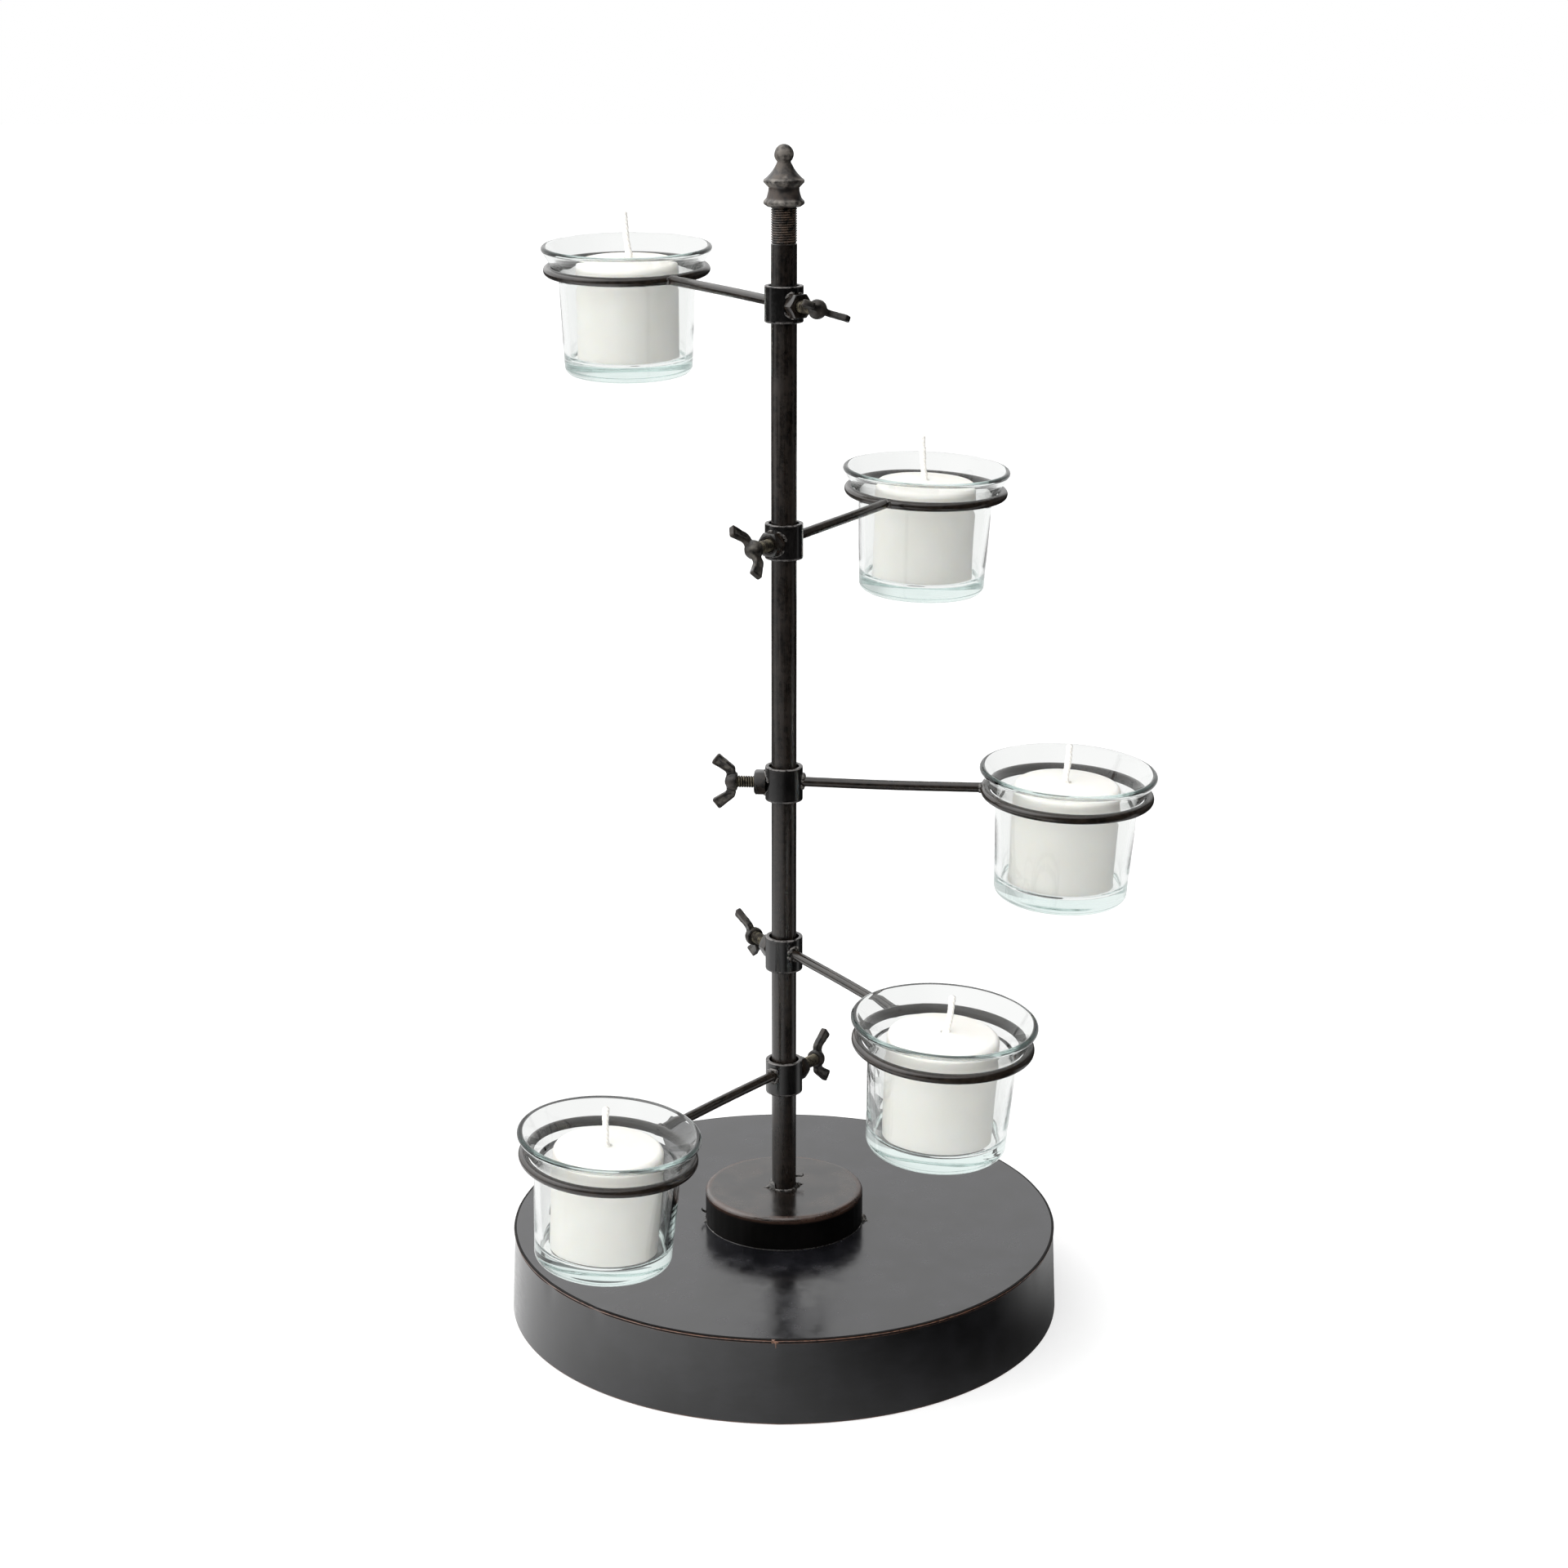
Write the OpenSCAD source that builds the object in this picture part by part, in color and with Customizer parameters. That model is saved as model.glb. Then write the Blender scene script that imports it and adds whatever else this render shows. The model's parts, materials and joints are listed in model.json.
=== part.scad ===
// Table-top votive candle tree: a round sheet-metal base, one upright tube with a
// cast finial, and five collars that slide and turn on the tube. Each collar carries
// a rod arm, a wire ring, a glass cup and a candle, and is clamped by a wing screw.
// Millimetres, +Z up. The origin is the centre of the base's underside.

/* [Base] */
// Diameter of the base at its top edge
base_top_d = 230; // [180:1:260]
// Diameter of the base at the table
base_foot_d = 233; // [180:1:270]
// Height of the base
base_h = 36; // [20:1:42]
// Thickness of the base's sheet metal
sheet_t = 1.2; // [0.8:0.1:2]
// Diameter of the small drum that holds the upright
socket_d = 67; // [40:1:90]
// Height of the small drum above the base
socket_h = 14.4; // [8:0.2:16]

/* [Upright] */
// Outer diameter of the upright tube
pole_d = 10.3; // [8:0.1:11.5]
// Inner diameter of the upright tube
pole_bore_d = 6.4; // [4:0.1:7]
// Height at which the thread on the upright starts
thread_z = 448; // [445:0.5:455]
// Pitch of the thread on the upright
thread_pitch = 0.94; // [0.7:0.01:1.5]
// Height of the upright's top end
pole_top_z = 470; // [466:0.5:473]
// Height of the finial's underside
finial_z = 461.9; // [460:0.1:463]

/* [Arms] */
// Direction of arms 1 to 4, counter-clockwise from +X, in degrees
arm_turn = [125, 58, -5, -58]; // [-180:0.5:180]
// Direction of arm 5, counter-clockwise from +X, in degrees
arm_turn_5 = -126.5; // [-180:0.5:180]
// Height of the middle of collars 1 to 4
collar_z = [424.4, 330.2, 229.4, 156]; // [95:0.1:435]
// Height of the middle of collar 5
collar_z_5 = 101.3; // [85:0.1:120]
// Distance from the upright's axis to the middle of each ring
reach = 115.5; // [100:0.5:130]
// Diameter of the rod and of the ring's wire
wire_d = 4; // [3:0.1:5]
// Radius of the ring at the middle of its wire
ring_r = 33.3; // [32.8:0.1:34]

/* [Collar] */
// Outer diameter of the collar
collar_d = 15.4; // [14.5:0.1:17]
// Bore of the collar
collar_bore_d = 12.4; // [11.6:0.1:13]
// Height of the collar with its lip
collar_h = 14.4; // [12:0.2:18]

/* [Thumb screw] */
// Diameter of the screw's thread
stud_d = 5; // [4:0.1:5.4]
// Pitch of the screw's thread
stud_pitch = 1; // [0.7:0.05:1.2]
// Size of the nut across its flats
nut_flats = 9.2; // [8:0.1:11]
// Thickness of the nut
nut_t = 4.7; // [3:0.1:6]
// Shortest length of screw between the nut and the wing head
stud_show = 6.3; // [5:0.1:9]
// Turn of each wing head on its screw, arms 1 to 4, in degrees
wing_turn = [75, 40, 0, -15]; // [-90:5:90]
// Turn of the wing head on arm 5, in degrees
wing_turn_5 = 5; // [-90:5:90]

/* [Cup and candle] */
// Outer diameter of the cup's rim
rim_d = 72.4; // [71:0.2:76]
// Height of the cup's rim bead above the ring
rim_z = 9; // [8:0.2:12]
// Depth of the cup below the ring
cup_depth = 44; // [36:1:48]
// Thickness of the cup's floor
floor_t = 6.5; // [4:0.5:9]
// Diameter of the candle
candle_d = 43.4; // [36:0.2:45]
// Height of the shoulder of the candle above the ring
candle_top_z = 4; // [-6:0.5:6]
// Rise of the wax from its shoulder to the wick
candle_dome = 1.2; // [0:0.1:2.5]
// Diameter of the wick
wick_d = 2.8; // [2:0.1:4]

/* [Hidden] */
$fn = 96;
eps = 0.01;
arms = [1:5];
turns = concat(arm_turn, [arm_turn_5]);
collars_z = concat(collar_z, [collar_z_5]);
wing_turns = concat(wing_turn, [wing_turn_5]);
// Height of each ring above the middle of its own collar
ring_lift = [3.1, 2.2, -1.6, -2.8, 2.7];
// Slope of each ring away from the upright, and across its arm, in degrees
ring_rise = [2.5, 0.5, -2.5, -4, 1];
ring_roll = [-2, 2.5, 2, -1, -4];
// Height of each rod's welded end above the middle of its collar
rod_lift = [0.2, 0.2, 0.6, 1.3, 2];
// How much more of its screw each arm shows
screw_out = [2.6, 2.6, 0.8, 4.1, 3.1];
// Length of wick that stands above the shoulder of each candle
wick_show = [20.4, 20.7, 17, 16, 17.1];

pole_r = pole_d / 2;
wire_r = wire_d / 2;
collar_r = collar_d / 2;
collar_bore_r = collar_bore_d / 2;
stud_r = stud_d / 2;
// Depth of each thread, and the gap that lets threaded pieces turn
pole_thread_t = 0.5;
stud_thread_t = 0.45;
fit_gap = 0.05;
// Gap between a moving piece and what it rests on
rest_gap = 0.15;
// The rod, the nut and the ring sink this far into the pieces they are welded to
weld_sink = 0.3;
// The collar's top lip is a separate ring: it slides with the collar and does not turn
lip_h = 1.6;
lip_gap = 0.04;
edge_r = 0.8;
nut_in_r = collar_r - weld_sink;
nut_out_r = nut_in_r + nut_t;
stud_tip_r = pole_r + rest_gap;
hub_r = 3.9;
hub_l = 5.2;
stud_in_hub = 3;

// ---- shared outlines and placements ----

// Points along an arc about (x, y), from angle a to angle b
function arc(x, y, r, a, b, steps = 6) =
    [for (i = [0 : steps]) [x + r * cos(a + (b - a) * i / steps), y + r * sin(a + (b - a) * i / steps)]];

// Points along a curve from p to r that is drawn towards q
function bend(p, q, r, steps = 8) =
    [for (i = [0 : steps]) let (t = i / steps) (1 - t) * (1 - t) * p + 2 * t * (1 - t) * q + t * t * r];

// Zigzag edge of a thread: crests at radius r, one for each pitch from z0 to z1
function crests(r, depth, pitch, z0, z1) =
    [for (i = [0 : floor((z1 - z0) / pitch) - 1])
        each [[r - depth, z0 + i * pitch], [r, z0 + (i + 0.5) * pitch]]];

// Solid of revolution with a thread outside and an optional bore
module threaded_bar(r, depth, pitch, z0, z1) {
    rotate_extrude()
        polygon(concat([[0, z0]], crests(r, depth, pitch, z0, z1), [[r - depth, z1], [0, z1]]));
}

// Puts its children in the frame of arm n: X points out along the arm
module arm_frame(n) {
    rotate([0, 0, turns[n - 1]]) translate([0, 0, collars_z[n - 1]]) children();
}

// Puts its children on the axis of arm n's screw: Z points out, away from the upright
module screw_frame(n) {
    arm_frame(n) rotate([0, -90, 0]) children();
}

// Puts its children in the middle of ring n: Z is the axis of the cup
module ring_frame(n) {
    arm_frame(n)
        translate([reach, 0, ring_lift[n - 1]])
            rotate([0, -ring_rise[n - 1], 0]) rotate([ring_roll[n - 1], 0, 0]) children();
}

// ---- base and upright ----

module base_top() {
    top_r = base_top_d / 2;
    color("#6b6b70")
        rotate_extrude($fn = 180)
            polygon(concat(
                [[pole_r + fit_gap, base_h - sheet_t], [top_r, base_h - sheet_t]],
                arc(top_r - edge_r, base_h - edge_r, edge_r, 0, 90),
                [[pole_r + fit_gap, base_h]]));
}

module base_side() {
    top_r = base_top_d / 2;
    foot_r = base_foot_d / 2;
    color("#2b2a2b")
        rotate_extrude($fn = 180)
            polygon([
                [foot_r - sheet_t, 0], [foot_r, 0],
                [top_r, base_h - sheet_t], [top_r - sheet_t, base_h - sheet_t]]);
}

module base_bottom() {
    foot_r = base_foot_d / 2;
    color("#2b2a2b")
        cylinder(h = sheet_t, r = foot_r - 1.2 * sheet_t, $fn = 180);
}

module pole_socket() {
    socket_r = socket_d / 2;
    round_r = 2;
    top = base_h + socket_h;
    color("#5b5653")
        rotate_extrude()
            polygon(concat(
                [[socket_r - 1.5, base_h], [socket_r, base_h]],
                arc(socket_r - round_r, top - round_r, round_r, 0, 90),
                [[pole_r + fit_gap, top], [pole_r + fit_gap, top - 1.5], [socket_r - 1.5, top - 1.5]]));
}

// Short beads of weld where the small drum meets the base
module socket_welds() {
    socket_r = socket_d / 2;
    bead = 2;
    color("#1d1b1a")
        for (a = [-4, 172, 84, 262])
            rotate([0, 0, a])
                rotate_extrude(angle = 9)
                    polygon([[socket_r, base_h], [socket_r + bead, base_h], [socket_r, base_h + bead]]);
}

module pole() {
    color("#1f1e1f")
        difference() {
            union() {
                translate([0, 0, base_h - sheet_t])
                    cylinder(h = thread_z - base_h + sheet_t + eps, r = pole_r);
                threaded_bar(pole_r, pole_thread_t, thread_pitch, thread_z, pole_top_z);
            }
            translate([0, 0, base_h - sheet_t - 1])
                cylinder(h = pole_top_z, d = pole_bore_d);
        }
}

// Fillet of weld around the upright, on top of the small drum
module pole_foot_weld() {
    leg = 1.6;
    top = base_h + socket_h;
    color("#1d1b1a")
        rotate_extrude()
            polygon([[pole_r, top], [pole_r + leg, top], [pole_r, top + leg]]);
}

// Cast finial: two flanges, a waist, a swept shoulder and a ball, with a blind bore below
module finial() {
    z = finial_z;
    flange_r = 8.15;
    waist_r = 6.1;
    neck_r = 2.75;
    ball_r = 3.9;
    ball_z = z + 19.85;
    bore_r = pole_r + fit_gap;
    bore_top = pole_top_z + rest_gap;
    color("#4a3b33")
        rotate_extrude()
            polygon(concat(
                [[bore_r, z], [6.6, z]],
                arc(flange_r - 1.1, z + 1.6, 1.1, -60, 50),
                bend([7, z + 3.2], [6.2, z + 5], [waist_r, z + 7.2]),
                arc(flange_r - 0.9, z + 9.7, 0.9, -60, 60),
                bend([7, z + 11], [4.2, z + 13.6], [neck_r, z + 17]),
                arc(0, ball_z, ball_r, -45, 90, 14),
                [[0, bore_top], [bore_r, bore_top]]));
}

// ---- arms ----

module collar_lip(n) {
    top = collar_h / 2;
    color("#3a3a3c")
        arm_frame(n)
            rotate_extrude()
                polygon([
                    [collar_bore_r, top - lip_h], [collar_r, top - lip_h],
                    [collar_r, top - 0.3], [collar_r - 0.3, top], [collar_bore_r, top]]);
}

module collar(n) {
    low = -collar_h / 2;
    high = collar_h / 2 - lip_h - lip_gap;
    weld_r = 3.4;
    weld_l = 1.8;
    color("#1f1e1f")
        arm_frame(n)
            difference() {
                union() {
                    rotate_extrude()
                        polygon(concat(
                            [[collar_bore_r, low]],
                            arc(collar_r - edge_r, low + edge_r, edge_r, -90, 0),
                            [[collar_r, high], [collar_bore_r, high]]));
                    // fillet of weld around the rod
                    translate([collar_r - 0.5, 0, rod_lift[n - 1]])
                        rotate([0, 90, 0]) cylinder(h = weld_l, r1 = weld_r, r2 = wire_r + 0.2);
                }
                cylinder(h = 2 * collar_h, r = collar_bore_r, center = true);
                // clearance hole for the screw
                rotate([0, -90, 0]) cylinder(h = collar_d, r = stud_r + 0.2, $fn = 48);
            }
}

module hex_nut(n) {
    color("#2c2b2b")
        screw_frame(n)
            difference() {
                translate([0, 0, nut_in_r])
                    rotate([0, 0, 30]) cylinder(h = nut_t, d = nut_flats / cos(30), $fn = 6);
                cylinder(h = 2 * nut_out_r, r = stud_r + fit_gap, $fn = 48);
            }
}

// Straight rod from the collar to the near side of the ring
module arm_rod(n) {
    rise = ring_rise[n - 1];
    x0 = collar_r - weld_sink;
    z0 = rod_lift[n - 1];
    x1 = reach - (ring_r + wire_r - weld_sink) * cos(rise);
    z1 = ring_lift[n - 1] - (ring_r + wire_r - weld_sink) * sin(rise);
    length = norm([x1 - x0, z1 - z0]);
    color("#262526")
        arm_frame(n)
            translate([x0, 0, z0])
                rotate([0, 90 - atan2(z1 - z0, x1 - x0), 0])
                    cylinder(h = length, r = wire_r, $fn = 48);
}

module cup_ring(n) {
    color("#262526")
        ring_frame(n)
            rotate_extrude() translate([ring_r, 0]) circle(r = wire_r, $fn = 48);
}

// ---- thumb screw ----

// Distance from the upright's axis to the near face of the wing head
function hub_in(n) = nut_out_r + stud_show + screw_out[n - 1];

module screw_stud(n) {
    color("#8d8563")
        screw_frame(n)
            threaded_bar(stud_r, stud_thread_t, stud_pitch, stud_tip_r, hub_in(n) + stud_in_hub);
}

// Swept wing of the thumb screw, drawn in the plane that holds the screw's axis
module wing_outline() {
    // hub side, tip and back edge, as distances out from the axis and along it
    polygon(concat(
        bend([2, 0.9], [7.4, 0.5], [12, 7.2]),
        [[8.2, 10.3]],
        bend([8.2, 10.3], [4.4, 4.4], [2, 4.6])));
}

module wing_head(n) {
    wing_t = 2.5;
    color("#2a2726")
        screw_frame(n)
            difference() {
                translate([0, 0, hub_in(n)])
                    rotate([0, 0, wing_turns[n - 1]]) {
                        // round hub with a domed back
                        rotate_extrude()
                            polygon(concat(
                                [[0, 0], [stud_r + 0.5, 0]],
                                arc(0, hub_l - hub_r, hub_r, -18, 90, 12)));
                        for (side = [0, 180])
                            rotate([0, 0, side])
                                rotate([90, 0, 0])
                                    translate([0, 0, -wing_t / 2])
                                        linear_extrude(wing_t) wing_outline();
                    }
                cylinder(h = hub_in(n) + stud_in_hub + rest_gap, r = stud_r + fit_gap, $fn = 48);
            }
}

// ---- cup, candle and wick ----

module glass_cup(n) {
    bead_r = 1.25;
    bead_x = rim_d / 2 - bead_r;
    low = -cup_depth;
    wall_low_r = 27.4;
    wall_high_r = 28.95;
    wall_t = 2.4;
    foot_r = 3.5;
    color([0.85, 0.92, 0.89, 0.35])
        ring_frame(n)
            rotate_extrude()
                polygon(concat(
                    [[0, low]],
                    arc(wall_low_r - foot_r, low + foot_r, foot_r, -90, 0),
                    bend([wall_high_r, -3], [30.6, -0.3], [bead_x + 0.9, rim_z - 0.85]),
                    arc(bead_x, rim_z, bead_r, -30, 150, 10),
                    bend([bead_x - 1.15, rim_z + 0.5], [28.4, 1.2], [wall_high_r - wall_t, -4]),
                    arc(wall_low_r - wall_t - 3, low + floor_t + 3, 3, 0, -90),
                    [[0, low + floor_t]]));
}

module candle(n) {
    candle_r = candle_d / 2;
    low = -cup_depth + floor_t + rest_gap;
    soft_r = 2.4;
    color("#f2f0ea")
        ring_frame(n)
            rotate_extrude()
                polygon(concat(
                    [[wick_d / 2 + fit_gap, low], [candle_r - 1, low], [candle_r, low + 1]],
                    arc(candle_r - soft_r, candle_top_z - soft_r, soft_r, 0, 90),
                    [[wick_d / 2 + fit_gap, candle_top_z + candle_dome]]));
}

module wick(n) {
    low = -cup_depth + floor_t + rest_gap;
    color("#f4f1e6")
        ring_frame(n)
            translate([0, 0, low])
                cylinder(h = candle_top_z - low + wick_show[n - 1], d = wick_d, $fn = 24);
}

base_top();
base_side();
base_bottom();
pole_socket();
socket_welds();
pole();
pole_foot_weld();
finial();
for (n = arms) {
    collar_lip(n);
    collar(n);
    hex_nut(n);
    arm_rod(n);
    cup_ring(n);
    screw_stud(n);
    wing_head(n);
    glass_cup(n);
    candle(n);
    wick(n);
}
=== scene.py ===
"""Looks for the five-arm votive candle tree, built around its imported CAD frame."""

import json
import math

import bmesh
import bpy
import numpy as np
from mathutils import Matrix, Vector


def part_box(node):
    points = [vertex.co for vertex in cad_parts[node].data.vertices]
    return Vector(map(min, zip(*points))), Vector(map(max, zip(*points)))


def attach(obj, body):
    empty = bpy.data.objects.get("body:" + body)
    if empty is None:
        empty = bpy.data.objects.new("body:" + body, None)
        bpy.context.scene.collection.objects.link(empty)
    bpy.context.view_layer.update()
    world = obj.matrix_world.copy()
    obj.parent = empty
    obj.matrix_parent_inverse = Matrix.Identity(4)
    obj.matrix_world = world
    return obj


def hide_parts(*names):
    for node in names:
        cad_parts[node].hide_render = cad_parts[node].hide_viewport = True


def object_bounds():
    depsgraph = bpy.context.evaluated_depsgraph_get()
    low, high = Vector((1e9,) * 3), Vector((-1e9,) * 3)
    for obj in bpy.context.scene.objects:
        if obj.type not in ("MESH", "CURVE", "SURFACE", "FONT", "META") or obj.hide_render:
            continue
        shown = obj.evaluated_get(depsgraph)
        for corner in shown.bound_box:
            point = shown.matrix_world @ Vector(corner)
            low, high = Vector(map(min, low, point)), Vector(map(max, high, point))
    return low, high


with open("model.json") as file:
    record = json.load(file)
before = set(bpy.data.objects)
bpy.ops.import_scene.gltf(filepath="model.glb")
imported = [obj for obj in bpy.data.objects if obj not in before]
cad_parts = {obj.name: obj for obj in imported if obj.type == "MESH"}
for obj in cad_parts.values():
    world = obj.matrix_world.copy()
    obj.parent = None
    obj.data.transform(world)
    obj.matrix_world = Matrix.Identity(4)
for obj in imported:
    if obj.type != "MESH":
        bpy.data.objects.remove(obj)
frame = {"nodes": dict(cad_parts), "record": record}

CAD_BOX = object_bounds()
MM = 0.001
ARMS = (1, 2, 3, 4, 5)
ROWS_PER_TURN = 10      # of mesh, in a thread


# ---------------------------------------------------------------- camera

CAMERA_AT = (0.0, -1.1659, 0.5645)
CAMERA_PITCH = math.radians(73.934)
CAMERA_LENS = 68.0


def add_camera():
    data = bpy.data.cameras.new("camera")
    data.lens = CAMERA_LENS
    data.sensor_width = 36.0
    data.clip_end = 50.0
    camera = bpy.data.objects.new("camera", data)
    camera.location = CAMERA_AT
    camera.rotation_euler = (CAMERA_PITCH, 0.0, 0.0)
    bpy.context.scene.collection.objects.link(camera)
    bpy.context.scene.camera = camera


add_camera()


# ---------------------------------------------------------------- places, from the record

JOINTS = {j["name"]: j for j in frame["record"]["behaviour"]["joints"]}


def mesh_points(mesh):
    co = np.zeros(len(mesh.vertices) * 3)
    mesh.vertices.foreach_get("co", co)
    return co.reshape(-1, 3)


def node_points(name):
    return mesh_points(frame["nodes"][name].data)


def basis(x, y, z, origin):
    return Matrix(((x[0], y[0], z[0], origin[0]), (x[1], y[1], z[1], origin[1]),
                   (x[2], y[2], z[2], origin[2]), (0, 0, 0, 1)))


def arm_out(n):
    """Unit vector from the upright towards ring n."""
    return -Vector(JOINTS[f"advance_screw_{n}"]["axis"]).normalized()


def arm_frame(n):
    """X points out along the arm, Z up, and the origin is the middle of collar n."""
    out = arm_out(n)
    up = Vector((0, 0, 1))
    return basis(out, up.cross(out), up, (0, 0, JOINTS[f"swing_arm_{n}"]["pos_m"][2]))


def screw_frame(n):
    """Z points away from the upright along the screw, X up."""
    out = arm_out(n)
    up = Vector((0, 0, 1))
    return basis(up, up.cross(out), -out, (0, 0, JOINTS[f"swing_arm_{n}"]["pos_m"][2]))


def ring_frame(n):
    """Z is the axis of cup n, X points away from the upright."""
    axis = Vector(JOINTS[f"lift_cup_{n}"]["axis"]).normalized()
    out = arm_out(n)
    out = (out - axis * out.dot(axis)).normalized()
    low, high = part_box(f"cup_ring_{n}")
    return basis(out, axis.cross(out), axis, (low + high) / 2)


# ---------------------------------------------------------------- mesh helpers

def wave(*terms):
    """Smooth fixed ripple: a sum of sines of the given (value, count, phase) terms."""
    return sum(np.sin(count * value + phase) for value, count, phase in terms) / len(terms)


def finish_mesh(name, bm, material, sharp=35.0):
    bmesh.ops.recalc_face_normals(bm, faces=bm.faces)
    mesh = bpy.data.meshes.new(name)
    bm.to_mesh(mesh)
    bm.free()
    mesh.polygons.foreach_set("use_smooth", [True] * len(mesh.polygons))
    mesh.set_sharp_from_angle(angle=math.radians(sharp))
    mesh.materials.append(material)
    piece = bpy.data.objects.new(name, mesh)
    bpy.context.scene.collection.objects.link(piece)
    return piece


def surface(name, rows, material, wear=None, place=None, loop=False, caps=(), sharp=35.0):
    """Skin over rows of points (rows x columns x 3). The columns close round, and the rows where
    loop is set. caps are points that close the first and last row."""
    count, cols = rows.shape[:2]
    points = rows.reshape(-1, 3)
    wear = np.zeros(len(points)) if wear is None else np.broadcast_to(wear, (count, cols)).reshape(-1)
    bm = bmesh.new()
    layer = bm.verts.layers.float.new("wear")
    verts = []
    for p, w in zip(points, wear):
        v = bm.verts.new((place @ Vector(p)) if place else Vector(p))
        v[layer] = w
        verts.append(v)
    for i in range(count if loop else count - 1):
        a, b = i * cols, ((i + 1) % count) * cols
        for j in range(cols):
            k = (j + 1) % cols
            bm.faces.new((verts[a + j], verts[a + k], verts[b + k], verts[b + j]))
    for end, tip in zip((0, count - 1), caps):
        middle = bm.verts.new((place @ Vector(tip)) if place else Vector(tip))
        middle[layer] = wear[end * cols]
        for j in range(cols):
            bm.faces.new((verts[end * cols + j], verts[end * cols + (j + 1) % cols], middle))
    return finish_mesh(name, bm, material, sharp)


def revolve(name, outline, material, sides=96, place=None, warp=None, sharp=35.0):
    """Turns an outline of (radius, height, wear) about Z. An outline that starts and ends at
    radius 0 closes on the axis, and any other is a loop. warp(r, z, angle) returns new r, z."""
    pts = np.array([(tuple(p) + (0.0,))[:3] for p in outline], float)
    solid = pts[0, 0] < 1e-9 and pts[-1, 0] < 1e-9
    body = pts[1:-1] if solid else pts
    angle = np.arange(sides) * 2 * math.pi / sides
    r = np.repeat(body[:, :1], sides, 1)
    z = np.repeat(body[:, 1:2], sides, 1)
    a = np.repeat(angle[None, :], len(body), 0)
    if warp:
        r, z = warp(r, z, a)
    rows = np.stack((r * np.cos(a), r * np.sin(a), z), -1)
    caps = ((0, 0, pts[0, 1]), (0, 0, pts[-1, 1])) if solid else ()
    return surface(name, rows, material, body[:, 2:3], place, loop=not solid, caps=caps, sharp=sharp)


def arc(x, y, r, start, end, steps=6, wear=0.0):
    turn = np.radians(np.linspace(start, end, steps + 1))
    return [(x + r * math.cos(t), y + r * math.sin(t), wear) for t in turn]


def bend(p, q, r, steps=10, wear=0.0):
    """Points along a curve from p to r that is drawn towards q."""
    p, q, r = (np.array(v, float) for v in (p, q, r))
    out = []
    for t in np.linspace(0, 1, steps + 1):
        x, y = (1 - t) ** 2 * p + 2 * t * (1 - t) * q + t * t * r
        out.append((x, y, wear))
    return out


def rounded(corners, steps=5):
    """Outline through (r, z, fillet, wear) corners, each rounded by its fillet and worn there."""
    out = []
    count = len(corners)
    for i, (x, y, fillet, wear) in enumerate(corners):
        here = Vector((x, y))
        before = Vector(corners[i - 1][:2]) - here
        after = Vector(corners[(i + 1) % count][:2]) - here
        if fillet <= 0 or before.length < 1e-9 or after.length < 1e-9:
            out.append((x, y, wear))
            continue
        half = before.angle(after) / 2
        reach = min(fillet / math.tan(half), 0.45 * before.length, 0.45 * after.length)
        start, end = here + before.normalized() * reach, here + after.normalized() * reach
        if wear:
            fade = min(1.5 * reach, 0.48 * before.length)
            out.append((*(here + before.normalized() * fade), 0.0))
        out += [(x, y, wear) for x, y, _ in bend(start, here, end, steps)]
        if wear:
            fade = min(1.5 * reach, 0.48 * after.length)
            out.append((*(here + after.normalized() * fade), 0.0))
    return out


def spread(outline, step, closed=False):
    """The outline with no two neighbours further apart than step."""
    pts = list(outline) + ([outline[0]] if closed else [])
    out = []
    for p, q in zip(pts, pts[1:]):
        p, q = np.array((tuple(p) + (0.0,))[:3]), np.array((tuple(q) + (0.0,))[:3])
        parts = max(1, math.ceil(np.linalg.norm((q - p)[:2]) / step))
        out += [tuple(p + (q - p) * i / parts) for i in range(parts)]
    return out if closed else out + [(tuple(pts[-1]) + (0.0,))[:3]]


def tube(name, path, radius, material, sides=20, closed=False, place=None, wear=0.0, sharp=60.0):
    """Round bar along the path. radius is a function of (share along, angles round it)."""
    path = [Vector(p) for p in path]
    count = len(path)
    tangents = []
    for i in range(count):
        a = path[i - 1] if i or closed else path[0]
        b = path[(i + 1) % count] if i < count - 1 or closed else path[-1]
        tangents.append((b - a).normalized())
    side = tangents[0].orthogonal().normalized()
    sides_at = []
    for t in tangents:
        side = (side - t * side.dot(t)).normalized()
        sides_at.append(side.copy())
    twist = 0.0
    if closed:
        end = (sides_at[-1] - tangents[0] * sides_at[-1].dot(tangents[0])).normalized()
        twist = math.atan2(end.cross(sides_at[0]).dot(tangents[0]), end.dot(sides_at[0]))
    angle = np.arange(sides) * 2 * math.pi / sides
    rows = np.zeros((count, sides, 3))
    for i, (p, t, s) in enumerate(zip(path, tangents, sides_at)):
        share = i / (count if closed else count - 1)
        across = t.cross(s)
        turn = angle + twist * share
        r = radius(share, angle)
        rows[i] = np.array(p) + np.outer(np.cos(turn) * r, s) + np.outer(np.sin(turn) * r, across)
    caps = () if closed else (path[0], path[-1])
    return surface(name, rows, material, wear, place, loop=closed, caps=caps, sharp=sharp)


def thinning(size, loss):
    """Radius of a bar that starts at size and loses that share of it along its length."""
    return lambda share, angle: np.full(len(angle), size * (1 - loss * share))


def bead_radius(size, ripples, seed, ends=0.15):
    """Radius of a hand-laid weld bead: overlapping scales, and tapered ends."""
    def radius(share, angle):
        scale = 0.12 * abs(math.sin(math.pi * ripples * share + seed)) ** 0.5
        lump = 0.16 * math.sin(5.3 * share + 2.1 * seed) + 0.1 * math.sin(17 * share + seed)
        taper = min(1.0, share / ends, (1 - share) / ends) if ends else 1.0
        around = 0.08 * np.sin(3 * angle + 9 * share + seed)
        return size * math.sqrt(max(taper, 0.02)) * (0.88 + scale + lump + around)
    return radius


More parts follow.
